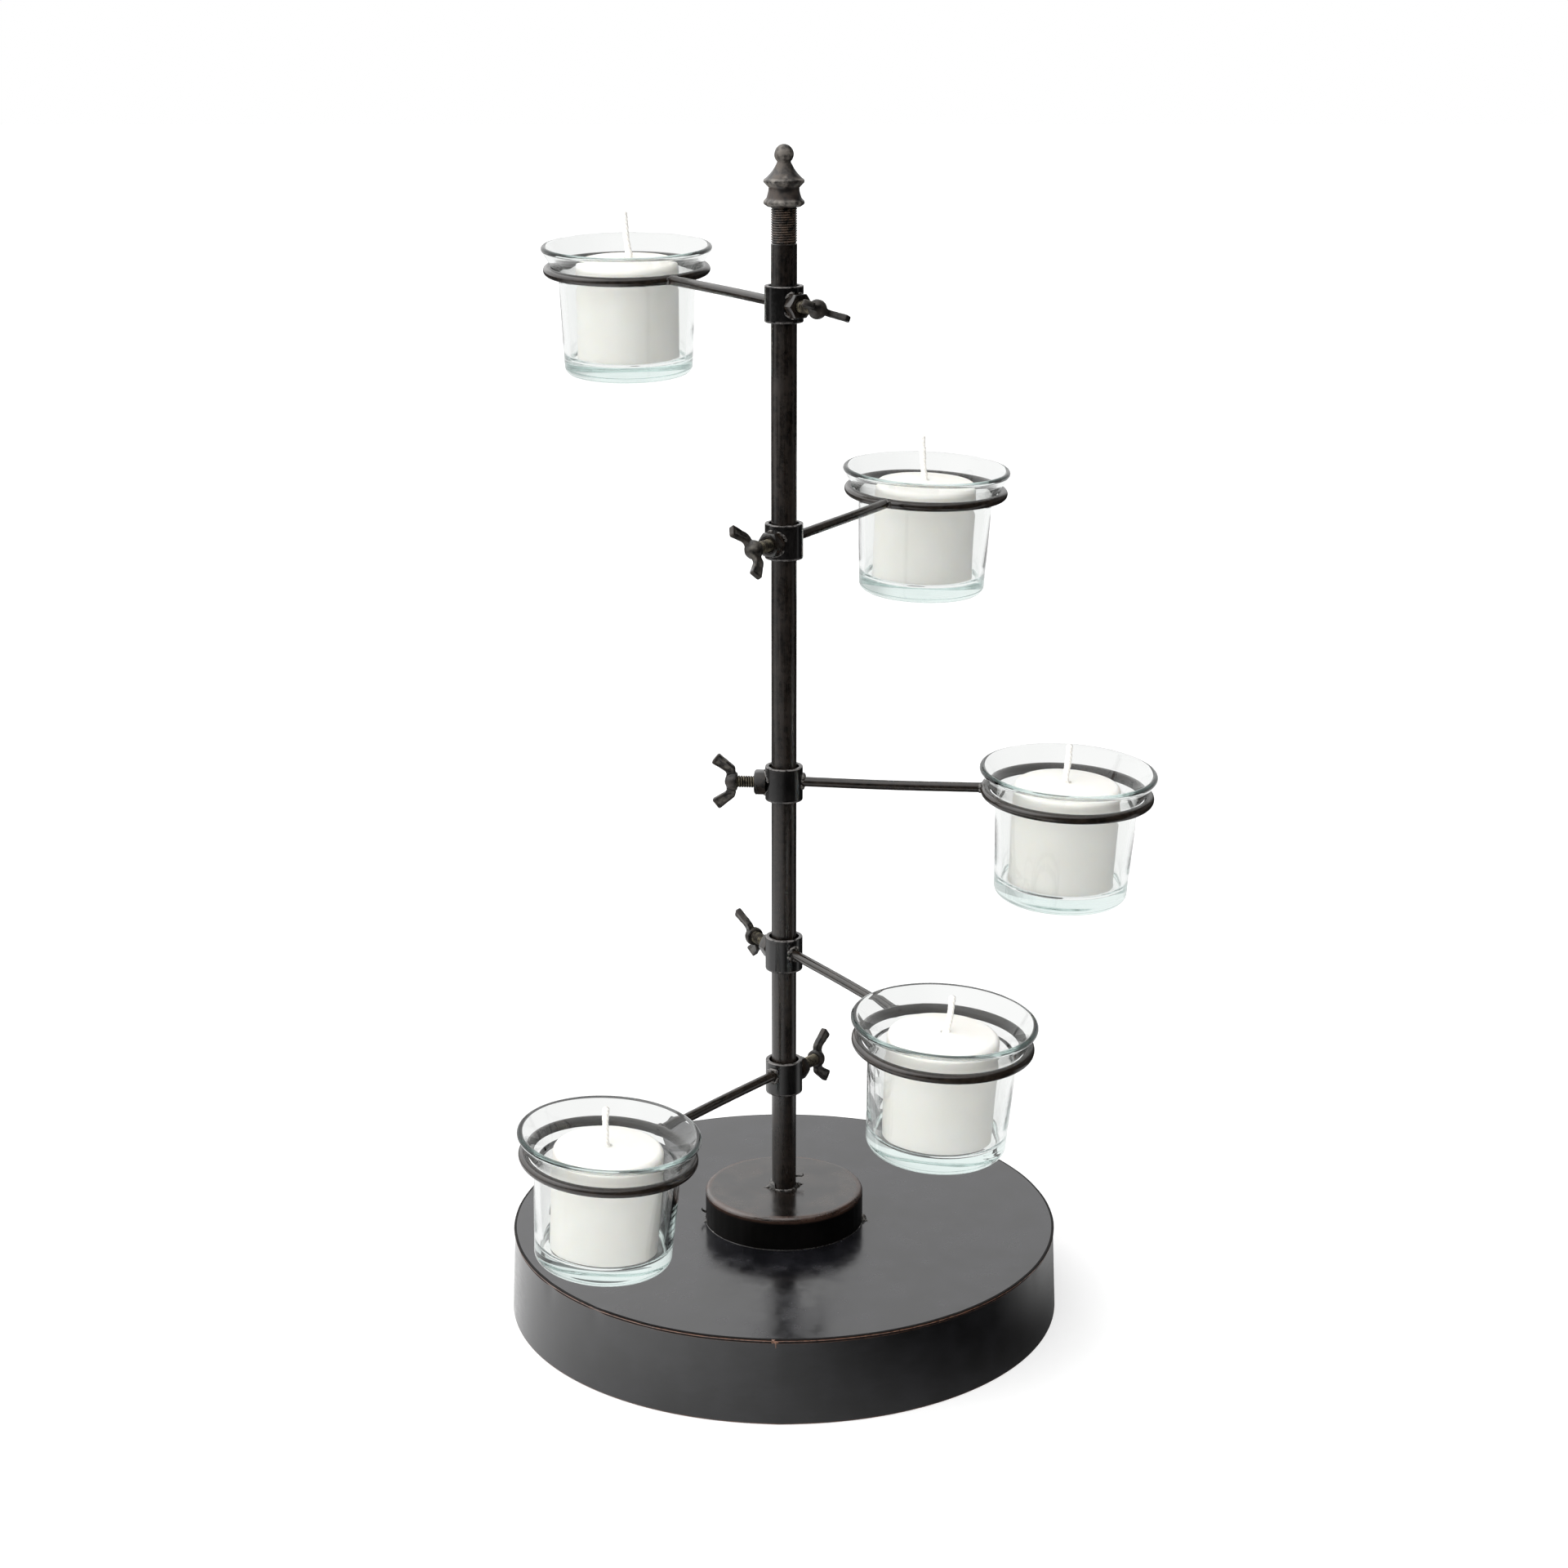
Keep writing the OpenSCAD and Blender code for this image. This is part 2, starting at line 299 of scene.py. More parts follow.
def threaded(name, r, depth, pitch, start, end, material, place=None, sides=48, bore=None, wear=0.0,
             chamfer=0.5 * MM):
    """Bar with a helical thread from start to end. bore makes it a tube."""
    length = end - start
    steps = max(4, math.ceil(length / pitch * ROWS_PER_TURN))
    z = np.linspace(start, end, steps + 1)[:, None]
    a = (np.arange(sides) * 2 * math.pi / sides)[None, :]
    phase = (z / pitch - a / (2 * math.pi)) % 1.0
    crest = 1 - np.abs(2 * phase - 1)
    crest = np.clip(crest * 1.25, 0, 1) ** 0.9
    radius = r - depth * (1 - crest)
    radius = np.minimum(radius, r - chamfer + np.minimum(z - start, end - z) + 0.1 * MM)
    rows = np.stack((radius * np.cos(a), radius * np.sin(a), np.broadcast_to(z, radius.shape)), -1)
    worn = wear * crest
    if bore is None:
        return surface(name, rows, material, worn, place, caps=((0, 0, start), (0, 0, end)), sharp=80.0)
    inside = (bore * np.cos(a), bore * np.sin(a), np.array([[end], [start]]))
    inner = np.stack([np.broadcast_to(part, (2, sides)) for part in inside], -1)
    rows = np.concatenate((rows, inner))
    worn = np.concatenate((np.broadcast_to(worn, (steps + 1, sides)), np.zeros((2, sides))))
    return surface(name, rows, material, worn, place, loop=True, sharp=80.0)


def cut(piece, tool, how="DIFFERENCE"):
    """Boolean of piece with tool, applied. The tool is removed."""
    step = piece.modifiers.new("cut", "BOOLEAN")
    step.operation = how
    step.solver = "EXACT"
    step.object = tool
    bake(piece)
    bpy.data.objects.remove(tool)


def bake(piece):
    """Applies the piece's modifiers to its mesh."""
    bpy.context.view_layer.update()
    evaluated = piece.evaluated_get(bpy.context.evaluated_depsgraph_get())
    mesh = bpy.data.meshes.new_from_object(evaluated)
    old, name = piece.data, piece.data.name
    piece.modifiers.clear()
    piece.data = mesh
    bpy.data.meshes.remove(old)
    mesh.name = name


def join(piece, others):
    """Adds the other meshes to piece, as loose shells of one object."""
    bm = bmesh.new()
    for part in (piece, *others):
        bm.from_mesh(part.data)
    bm.to_mesh(piece.data)
    bm.free()
    for part in others:
        bpy.data.objects.remove(part)


def fit_out(piece, body, slot, *nodes):
    """Puts a finished piece on its body and hides the CAD parts that it stands for."""
    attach(piece, body)
    if nodes:
        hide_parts(*nodes)
    return piece


# ---------------------------------------------------------------- materials

class Shader:
    """A material's node tree, with short calls to add nodes to it."""

    def __init__(self, name="", tree=None):
        if tree is None:
            self.material = bpy.data.materials.new(name)
            self.material.use_nodes = True
        self.tree = tree or self.material.node_tree
        self.tree.nodes.clear()

    def add(self, kind, inputs=None, **settings):
        node = self.tree.nodes.new(kind)
        for key, value in settings.items():
            setattr(node, key, value)
        for key, value in (inputs or {}).items():
            if isinstance(value, bpy.types.NodeSocket):
                self.tree.links.new(value, node.inputs[key])
            else:
                node.inputs[key].default_value = value
        return node

    def place(self):
        return self.add("ShaderNodeTexCoord").outputs["Object"]

    def noise(self, scale, detail=3.0, stretch=None, rough=0.5, shift=0.0):
        """Noise by object position, in features per metre, drawn out by stretch."""
        where = self.place()
        if stretch or shift:
            where = self.add("ShaderNodeMapping", {"Vector": where, "Location": (shift, shift, shift),
                                                   "Scale": stretch or (1, 1, 1)}).outputs[0]
        return self.add("ShaderNodeTexNoise", {"Vector": where, "Scale": scale, "Detail": detail,
                                               "Roughness": rough}).outputs["Fac"]

    def span(self, value, low, high, to_low=0.0, to_high=1.0):
        """value from low..high to to_low..to_high, eased, and held at the ends."""
        node = self.add("ShaderNodeMapRange", {"Value": value, "From Min": low, "From Max": high,
                                               "To Min": to_low, "To Max": to_high})
        node.interpolation_type = "SMOOTHSTEP"
        return node.outputs[0]

    def maths(self, how, a, b=0.0):
        return self.add("ShaderNodeMath", {0: a, 1: b}, operation=how).outputs[0]

    def blend(self, share, a, b):
        """Colour a where share is 0 and b where it is 1."""
        colours = {i: v if isinstance(v, bpy.types.NodeSocket) else (*v, 1.0) for i, v in ((6, a), (7, b))}
        return self.add("ShaderNodeMix", {0: share, **colours}, data_type="RGBA").outputs[2]

    def bump(self, height, distance, normal=None):
        inputs = {"Height": height, "Distance": distance, "Strength": 1.0}
        if normal is not None:
            inputs["Normal"] = normal
        return self.add("ShaderNodeBump", inputs).outputs[0]

    def attribute(self, name):
        return self.add("ShaderNodeAttribute", attribute_name=name).outputs["Fac"]

    def output(self, surface_socket):
        self.add("ShaderNodeOutputMaterial", {"Surface": surface_socket})
        return self.material


def patina(name, dark, light, brown, gloss, streak, rough=(0.14, 0.26), bump=0.000004, grain=900.0, dips=0.00002,
           ragged=1.0, patch=420.0):
    """Lacquered dark patina on steel: two near-black tones in blotches, streaks along or round
    the piece, and brown where the wear attribute says that it is rubbed. ragged breaks that up."""
    s = Shader(name)
    blotch = s.noise(70.0, 4.0, shift=0.3)
    fine = s.noise(grain, 3.0, stretch=streak)
    tone = s.span(s.maths("ADD", blotch, s.maths("MULTIPLY", fine, 0.6)), 0.62, 1.0)
    base = s.blend(tone, dark, light)
    patchy = s.noise(patch, 4.0, rough=0.65, shift=1.7)
    worn = s.maths("MULTIPLY", s.attribute("wear"), s.span(patchy, 0.36, 0.6, 1.0 - ragged))
    colour = s.blend(worn, base, brown)
    uneven = s.maths("ADD", s.maths("MULTIPLY", fine, 0.6), s.maths("MULTIPLY", blotch, 0.4))
    roughness = s.maths("ADD", s.span(uneven, 0.35, 0.65, rough[0], rough[1]), s.maths("MULTIPLY", worn, 0.15))
    slow = s.bump(s.noise(110.0, 2.0, shift=2.9), dips)
    shader = s.add("ShaderNodeBsdfPrincipled", {
        "Base Color": colour, "Roughness": roughness, "IOR": gloss, "Metallic": 0.0,
        "Normal": s.bump(fine, bump, normal=slow)})
    return s.output(shader.outputs[0])


def casting(name, dark, light, brown):
    """Sand-cast metal: lumpy grain, with paler rubbed patches on the high spots."""
    s = Shader(name)
    lumps = s.noise(260.0, 5.0, rough=0.6)
    patches = s.noise(140.0, 3.0, shift=0.8)
    base = s.blend(s.span(lumps, 0.35, 0.7), dark, brown)
    shine = s.maths("MULTIPLY", s.span(patches, 0.5, 0.68), s.span(lumps, 0.4, 0.62))
    worn = s.maths("MAXIMUM", shine, s.maths("MULTIPLY", s.attribute("wear"), s.span(lumps, 0.38, 0.6)))
    shader = s.add("ShaderNodeBsdfPrincipled", {
        "Base Color": s.blend(worn, base, light), "Roughness": s.span(lumps, 0.3, 0.7, 0.28, 0.55),
        "IOR": 1.6, "Metallic": 0.35, "Normal": s.bump(lumps, 0.00018)})
    return s.output(shader.outputs[0])


def weld_metal(name):
    """Scaly black weld with small bright glints on its crests, painted into its colour as light grey spots."""
    s = Shader(name)
    scale = s.noise(900.0, 4.0, rough=0.6)
    painted_glint = s.span(s.noise(500.0, 2.0, shift=4.0), 0.62, 0.7)
    worn = s.maths("MAXIMUM", painted_glint, s.maths("MULTIPLY", s.attribute("wear"), s.span(scale, 0.4, 0.6)))
    shader = s.add("ShaderNodeBsdfPrincipled", {
        # The light grey is the painted glints, and rubbed metal where the wear attribute is high.
        "Base Color": s.blend(worn, (0.012, 0.011, 0.010), (0.28, 0.26, 0.24)),
        "Roughness": s.span(scale, 0.3, 0.7, 0.15, 0.45), "IOR": 1.8, "Metallic": 0.3,
        "Normal": s.bump(scale, 0.0002)})
    return s.output(shader.outputs[0])


def zinc(name):
    """Yellowish zinc thread, blackened in patches, and dark in its roots, where shade is painted: near black
    wherever the thread's crest falls away.
    """
    s = Shader(name)
    crest = s.attribute("wear")
    dirt = s.span(s.noise(380.0, 3.0), 0.4, 0.62)
    light = s.blend(dirt, (0.17, 0.15, 0.105), (0.045, 0.038, 0.03))
    # Painted shade: the thread's roots go near black, and only the crests show the zinc tone.
    colour = s.blend(s.span(crest, 0.25, 0.8), (0.012, 0.011, 0.01), light)
    fine = s.noise(2200.0, 2.0)
    shader = s.add("ShaderNodeBsdfPrincipled", {
        "Base Color": colour, "Roughness": s.span(fine, 0.3, 0.7, 0.25, 0.45), "Metallic": 0.75,
        "Normal": s.bump(fine, 0.00003)})
    return s.output(shader.outputs[0])


def clear_glass(name):
    """Pressed soda glass: faint green, with slow waves left by the mould."""
    s = Shader(name)
    slow = s.noise(38.0, 2.0, stretch=(1, 1, 0.4))
    tint = s.blend(s.span(slow, 0.3, 0.7), (0.93, 0.935, 0.928), (0.955, 0.958, 0.95))
    shader = s.add("ShaderNodeBsdfPrincipled", {
        "Base Color": tint, "Roughness": 0.0, "IOR": 1.5, "Transmission Weight": 1.0,
        "Normal": s.bump(slow, 0.00025)})
    green = s.add("ShaderNodeVolumeAbsorption", {"Color": (0.45, 0.85, 0.78, 1.0), "Density": 5.0})
    s.add("ShaderNodeOutputMaterial", {"Surface": shader.outputs[0], "Volume": green.outputs[0]})
    return s.material


def wax(name):
    """Pressed white candle wax: faint cloudiness and a soft sheen."""
    s = Shader(name)
    cloud = s.noise(90.0, 4.0)
    grain = s.noise(1500.0, 3.0)
    shader = s.add("ShaderNodeBsdfPrincipled", {
        "Base Color": s.blend(s.span(cloud, 0.35, 0.65), (0.955, 0.937, 0.88), (0.975, 0.962, 0.91)),
        "Roughness": s.span(grain, 0.3, 0.7, 0.42, 0.56), "IOR": 1.44,
        "Subsurface Weight": 0.25, "Subsurface Radius": (1.0, 0.8, 0.6), "Subsurface Scale": 0.004,
        "Normal": s.bump(s.maths("ADD", cloud, s.maths("MULTIPLY", grain, 0.15)), 0.00012)})
    return s.output(shader.outputs[0])


def wick_cord(name):
    """Braided cotton under a skin of wax."""
    s = Shader(name)
    braid = s.add("ShaderNodeTexWave", {"Vector": s.place(), "Scale": 320.0, "Distortion": 2.0,
                                        "Detail": 2.0}, bands_direction="DIAGONAL").outputs["Fac"]
    fuzz = s.noise(1200.0, 4.0)
    shader = s.add("ShaderNodeBsdfPrincipled", {
        "Base Color": s.blend(s.span(braid, 0.2, 0.8), (0.86, 0.835, 0.78), (0.95, 0.94, 0.91)),
        "Roughness": s.span(fuzz, 0.3, 0.7, 0.45, 0.7),
        "Normal": s.bump(s.maths("ADD", braid, s.maths("MULTIPLY", fuzz, 0.5)), 0.00015)})
    return s.output(shader.outputs[0])


ALONG_UP = (1.0, 1.0, 0.05)
ALL_ROUND = (1.0, 1.0, 14.0)
EVEN = (1.0, 1.0, 1.0)
COPPER = (0.22, 0.1, 0.055)

M_POLE = patina("pole_patina", (0.002, 0.0018, 0.0016), (0.010, 0.0075, 0.006), (0.07, 0.045, 0.03), 1.62, ALONG_UP,
                rough=(0.18, 0.34), bump=0.000006)
# Its pale grey is rubbed metal on the collar's edges and also a painted highlight on the top of the lip.
M_COLLAR = patina("collar_patina_and_rim_highlight", (0.0025, 0.0024, 0.0025), (0.007, 0.0062, 0.006), (0.14, 0.13, 0.125), 1.58, EVEN,
                  rough=(0.13, 0.24))
M_WIRE = patina("wire_patina", (0.003, 0.0025, 0.002), (0.012, 0.009, 0.0065), (0.07, 0.045, 0.03), 1.62, EVEN,
                rough=(0.1, 0.22))
M_TOP = patina("base_top_patina", (0.006, 0.006, 0.0075), (0.013, 0.013, 0.0165), COPPER, 1.8, EVEN,
               rough=(0.14, 0.28), bump=0.00001, grain=130.0, dips=0.00003, ragged=0.6)
M_SIDE = patina("base_side_patina", (0.002, 0.002, 0.0024), (0.007, 0.007, 0.0085), COPPER, 1.8, ALL_ROUND,
                rough=(0.12, 0.24), bump=0.000009, grain=160.0, dips=0.000015, ragged=0.6)
M_SOCKET = patina("socket_patina", (0.005, 0.0037, 0.003), (0.032, 0.023, 0.018), (0.05, 0.022, 0.012), 1.82, EVEN,
                  rough=(0.16, 0.3), grain=150.0, dips=0.00004, ragged=0.95, patch=40.0)
# Dull matt black: the socket drum's own side finish, and also painted shade in the seam lines of the base's rim,
# where the top plate meets the side band.
M_BLACK = patina("socket_side_patina_and_seam_shade", (0.0012, 0.001, 0.0009), (0.0025, 0.002, 0.0018), (0.03, 0.015, 0.01), 1.2,
                 ALL_ROUND, rough=(0.4, 0.55), ragged=0.3)
M_WELD = weld_metal("weld_metal")
M_CAST = casting("cast_metal", (0.015, 0.013, 0.012), (0.3, 0.28, 0.25), (0.06, 0.045, 0.036))
M_WING = casting("wing_metal", (0.008, 0.007, 0.0065), (0.09, 0.083, 0.07), (0.03, 0.022, 0.017))
M_ZINC = zinc("zinc_thread")
M_GLASS = clear_glass("clear_glass")
M_WAX = wax("wax")
M_WICK = wick_cord("wick_cord")


# ---------------------------------------------------------------- base and upright

BASE_TOP_R = 115.0 * MM
BASE_FOOT_R = 116.5 * MM
SHEET = 1.2 * MM
SEAM_AT = math.radians(-91.6)
DENTS = ((-131.0, 1.0), (-146.0, 0.8), (-118.0, 0.35), (-52.0, 0.45), (-27.0, 0.4), (160.0, 0.6), (40.0, 0.5))
POLE_R = 5.15 * MM
POLE_BORE_R = 3.2 * MM
SOCKET_R = 33.5 * MM
THREAD_FROM = 448.0 * MM            # where the thread at the upright's top begins
FINIAL_BORE_TOP = 470.15 * MM       # blind end of the finial's bore, just above the upright


def turn_from(angle, centre):
    """Angle from centre, from -pi to pi."""
    return (angle - centre + math.pi) % (2 * math.pi) - math.pi


def base_height():
    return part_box("base_top")[1].z


def edge_waver(a):
    """Small unevenness of the hand-finished rim, in metres."""
    return 0.12 * MM * wave((a, 3, 0.4), (a, 7, 1.9), (a, 16, 0.7), (a, 31, 2.2))


def darken(piece, inside):
    """Gives the faces whose middle is inside the dull black material: the socket drum's own matt black side, and
    painted shade in the seams along the base's rim.
    """
    piece.data.materials.append(M_BLACK)
    for face in piece.data.polygons:
        if inside(face.center):
            face.material_index = 1


def make_base_top():
    top = base_height()
    under = top - SHEET
    rim = BASE_TOP_R
    outline = rounded([
        (POLE_R + 0.05 * MM, under, 0, 0), (rim - 0.35 * MM, under, 0.2 * MM, 0),
        (rim, top - 0.62 * MM, 0.3 * MM, 1.0), (rim - 0.15 * MM, top - 0.12 * MM, 0.35 * MM, 0.3),
        (rim - 1.1 * MM, top, 0.6 * MM, 0.0), (POLE_R + 0.05 * MM, top, 0, 0)], steps=4)
    outline = spread(outline, 3.5 * MM, closed=True)

    def warp(r, z, a):
        near_rim = np.clip((r - 0.1) / (rim - 0.1), 0, 1) ** 3
        upper = z > top - 0.9 * MM
        flat = 0.035 * MM * wave((r / rim * np.cos(a), 7, 1.0), (r / rim * np.sin(a), 9, 2.0),
                                 (r / rim * np.cos(a + 0.7), 15, 0.2))
        sink = sum(0.25 * MM * size * np.exp(-(turn_from(a, math.radians(at)) / 0.03) ** 2)
                   for at, size in DENTS)
        knot = 0.35 * MM * np.exp(-(turn_from(a, SEAM_AT) / 0.014) ** 2)
        z = z + np.where(upper & (r > SOCKET_R), flat, 0) - near_rim * sink * (r > rim - 4 * MM)
        return r + near_rim * (edge_waver(a) + knot * (z < top - 0.2 * MM)), z

    piece = revolve("base_top_plate", outline, M_TOP, 288, warp=warp)
    # The plate's rounded outer edge, above the copper line, gets the dull black: a painted dark line that stands for
    # the shade of the rim's seam.
    darken(piece, lambda c: math.hypot(c.x, c.y) > rim - 1.25 * MM and c.z > top - 0.45 * MM)
    return fit_out(piece, "base", "base_plate", "base_top")


def make_base_side():
    top = base_height() - SHEET
    outline = rounded([
        (BASE_FOOT_R - SHEET, 0.0, 0, 0), (BASE_FOOT_R, 0.0, 0.3 * MM, 0.5),
        (BASE_TOP_R - 0.1 * MM, top, 0.55 * MM, 0.35), (BASE_TOP_R - SHEET, top, 0, 0)], steps=4)
    outline = spread(outline, 1.8 * MM, closed=True)

    def warp(r, z, a):
        high = np.clip(z / top, 0, 1)
        off = turn_from(a, SEAM_AT)
        seam = 0.3 * MM * np.exp(-np.abs(off) / 0.05) + 0.1 * MM * (off > 0) * np.exp(-np.abs(off) / 0.2)
        dent = sum(0.55 * MM * size * np.exp(-(turn_from(a, math.radians(at)) / 0.028) ** 2)
                   for at, size in DENTS) * high ** 6
        slow = 0.16 * MM * wave((a, 2, 0.3), (a, 5, 1.3), (a, 9, 0.5)) * (0.4 + 0.6 * high)
        return r + slow + seam - dent + edge_waver(a) * high ** 8 - 0.35 * MM, z

    piece = revolve("base_side_band", outline, M_SIDE, 360, warp=warp)
    # The band's top edge, tucked under the plate's edge, gets the dull black: painted shade in the seam groove.
    darken(piece, lambda c: c.z > top - 0.6 * MM)
    knot = on_circle(BASE_TOP_R - 0.5 * MM, top + 0.35 * MM, -92.6, -90.9, 9)
    drip = [(BASE_TOP_R * math.cos(SEAM_AT), (BASE_TOP_R - 0.55 * MM + x * MM) * math.sin(SEAM_AT), top + z * MM)
            for x, z in ((0, 0.3), (0.12, -0.8), (0.2, -2.0), (0.3, -3.4))]
    join(piece, [tube("seam_knot", knot, bead_radius(0.8 * MM, 2, 0.4), M_SIDE, 12, wear=0.9),
                 tube("seam_drip", drip, thinning(0.6 * MM, 0.8), M_SIDE, 12, wear=0.5)])
    return fit_out(piece, "base", "base_plate", "base_side")


def make_base_bottom():
    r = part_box("base_bottom")[1].x
    outline = [(0, 0.3 * MM, 0)] + spread(arc(r - 0.3 * MM, 0.3 * MM, 0.3 * MM, -90, 0, 4, wear=0.3), 6 * MM)
    outline = spread(outline + [(r, SHEET, 0), (0, SHEET, 0)], 6 * MM)
    piece = revolve("base_bottom_plate", outline, M_SIDE, 180)
    return fit_out(piece, "base", "base_plate", "base_bottom")


def make_socket():
    low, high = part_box("pole_socket")
    base, top = low.z, high.z
    wall = 1.5 * MM
    outline = rounded([
        (SOCKET_R - wall, base, 0, 0), (SOCKET_R, base, 0.2 * MM, 0.4), (SOCKET_R, top, 2.0 * MM, 1.0),
        (POLE_R + 0.05 * MM, top, 0, 0), (POLE_R + 0.05 * MM, top - wall, 0, 0),
        (SOCKET_R - wall, top - wall, 0, 0)], steps=8)
    outline = spread(outline, 1.2 * MM, closed=True)

    def warp(r, z, a):
        out = np.clip((r - 0.02) / (SOCKET_R - 0.02), 0, 1)
        uneven = 0.14 * MM * wave((a, 4, 0.2), (a, 9, 1.1), (a, 21, 0.6), (a, 47, 0.1))
        dish = 0.05 * MM * wave((r * np.cos(a), 260, 0.4), (r * np.sin(a), 310, 1.4))
        return r + out * uneven - 0.12 * MM * out, z + dish * (z > top - 0.4 * MM)

    piece = revolve("pole_socket_drum", outline, M_SOCKET, 192, warp=warp)
    darken(piece, lambda c: c.z < top - 1.6 * MM)
    return fit_out(piece, "base", "base_plate", "pole_socket")


def on_circle(r, z, start, end, count):
    return [(r * math.cos(t), r * math.sin(t), z) for t in np.radians(np.linspace(start, end, count))]


def flare(name, angle, r, z, out, tall, wear, turn=0.0):
    """Lump of weld that is tall at the upright wall it grew from and runs out to a point."""
    path = []
    for t in np.linspace(0, 1, 12):
        swing = math.radians(angle + turn * t)
        away = r - 0.4 * MM + (out + 0.4 * MM) * t
        path.append((away * math.cos(swing), away * math.sin(swing), z - 0.1 * MM))
    lumps = bead_radius(1.0, 3, angle, ends=0)

    def radius(share, a):
        return tall * ((1 - share) ** 1.7 + 0.05) * lumps(share, a)

    return tube(name, path, radius, M_WELD, 14, wear=wear)


def make_socket_welds():
    """A thin uneven bead where the drum meets the base, with a pointed run at its left and right."""
    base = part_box("pole_socket")[0].z
    ring = on_circle(SOCKET_R + 0.1 * MM, base + 0.05 * MM, 0, 360, 240)[:-1]
    lumps = bead_radius(0.27 * MM, 34, 0.7, ends=0)

    def radius(share, a):
        return lumps(share, a) * (0.75 + 0.45 * math.sin(41 * share) ** 2)

    piece = tube("socket_weld_beads", ring, radius, M_WELD, 10, closed=True)
    beads = [flare("socket_run_right", -3.0, SOCKET_R, base, 3.0 * MM, 2.7 * MM, 0.5, -4.0),
             flare("socket_run_left", 188.0, SOCKET_R, base, 1.4 * MM, 2.0 * MM, 0.1)]
    hook = [(-SOCKET_R - x * MM, y * MM, base + z * MM) for x, y, z in
            ((-0.3, -1.5, 3.2), (0.6, -1.6, 3.5), (1.3, -1.8, 4.1), (1.6, -2.2, 4.9), (1.3, -2.6, 5.4))]
    beads.append(tube("socket_hook", hook, thinning(0.62 * MM, 0.75), M_WELD, 10, wear=0.15))
    join(piece, beads)
    return fit_out(piece, "base", "weld_metal", "socket_welds")


def make_pole():
    low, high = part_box("pole")
    outline = [(POLE_BORE_R, low.z, 0), (POLE_R, low.z, 0)]
    outline += [(POLE_R, z, 0.12) for z in np.linspace(low.z + 0.01, THREAD_FROM - 0.0005, 60)]
    outline += [(POLE_R - 0.5 * MM, THREAD_FROM, 0.4), (POLE_BORE_R, THREAD_FROM, 0)]

    def warp(r, z, a):
        swell = 0.03 * MM * wave((z, 90, 0.3), (z, 210, 1.0), (a, 2, 0.5), (a + z * 9, 3, 0.1))
        return r + np.where(r > 4 * MM, swell - 0.03 * MM, 0), z

    piece = revolve("pole_tube", outline, M_POLE, 64, warp=warp)
    thread = threaded("pole_thread", POLE_R, 0.5 * MM, 0.94 * MM, THREAD_FROM, high.z, M_POLE,
                      bore=POLE_BORE_R, wear=0.9)
    join(piece, [thread])
    return fit_out(piece, "base", "patina_steel", "pole")


def make_pole_foot_weld():
    """Pointed runs left and right of the upright, a thin bead between them and a small curled burr."""
    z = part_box("pole_foot_weld")[0].z
    piece = tube("pole_foot_weld_beads", on_circle(POLE_R + 0.1 * MM, z + 0.1 * MM, 0, 360, 90)[:-1],
                 bead_radius(0.5 * MM, 9, 1.2, ends=0), M_WELD, 12, closed=True, wear=0.45)
    beads = [flare("foot_left", 186.0, POLE_R, z, 3.6 * MM, 3.6 * MM, 0.2, 6.0),
             flare("foot_left_low", 205.0, POLE_R, z, 2.2 * MM, 1.6 * MM, 0.3),
             # The right run's wear of 0.75 turns much of it pale grey: a painted glint on that run.
             flare("foot_right", 8.0, POLE_R, z, 3.9 * MM, 2.6 * MM, 0.75, 9.0),
             flare("foot_right_low", -18.0, POLE_R, z, 1.9 * MM, 1.7 * MM, 0.1),
             flare("foot_back", 95.0, POLE_R, z, 2.0 * MM, 2.0 * MM, 0.3)]
    curl = [((POLE_R + x * MM), y * MM, z + h * MM) for x, y, h in
            ((-0.6, 2.0, 3.6), (0.4, 1.9, 3.9), (1.5, 1.7, 4.0), (2.5, 1.6, 3.9), (3.1, 1.6, 4.4), (2.8, 1.7, 4.9))]
    beads.append(tube("foot_curl", curl, thinning(0.55 * MM, 0.6), M_WELD, 10, wear=0.15))
    join(piece, beads)
    return fit_out(piece, "base", "weld_metal", "pole_foot_weld")


def make_finial():
    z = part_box("finial")[0].z
    flange, waist, neck, ball = 8.15 * MM, 6.1 * MM, 2.75 * MM, 3.9 * MM
    ball_z = z + 19.85 * MM
    bore = POLE_R + 0.05 * MM

    def at(r, h):
        return r, z + h * MM

    outline = [(0, FINIAL_BORE_TOP, 0), (bore, FINIAL_BORE_TOP, 0), (bore, z, 0), (6.6 * MM, z, 0)]
    outline += arc(flange - 1.1 * MM, z + 1.6 * MM, 1.1 * MM, -60, 50, 10, 0.5)
    outline += bend(at(7 * MM, 3.2), at(6.2 * MM, 5), at(waist, 7.2), 10)
    outline += arc(flange - 0.9 * MM, z + 9.7 * MM, 0.9 * MM, -60, 60, 10, 0.6)
    outline += bend(at(7 * MM, 11), at(4.2 * MM, 13.6), at(neck, 17), 14, 0.1)
    outline += arc(0, ball_z, ball, -45, 90, 20, 0.35)
    outline[-1] = (0, ball_z + ball, 0.35)
    outline = [p for i, p in enumerate(outline) if i in (0, len(outline) - 1) or p[0] > 1e-6]

    def warp(r, h, a):
        outside = (r > bore + 0.2 * MM) | (h > FINIAL_BORE_TOP + 0.5 * MM)
        part = 0.14 * MM * sum(np.exp(-(turn_from(a, at) / 0.06) ** 2) for at in (0.5, 0.5 + math.pi))
        lump = 0.07 * MM * wave((a, 5, h[:, :1] * 900), (a, 11, h[:, :1] * 1500 + 1), (h, 1700, 0.4))
        return r + np.where(outside, (part + lump - 0.1 * MM) * np.clip(r / (2 * MM), 0, 1), 0), h

    piece = revolve("finial_casting", outline, M_CAST, 96, warp=warp, sharp=50.0)
    return fit_out(piece, "finial", "cast_metal", "finial")


# ---------------------------------------------------------------- arms

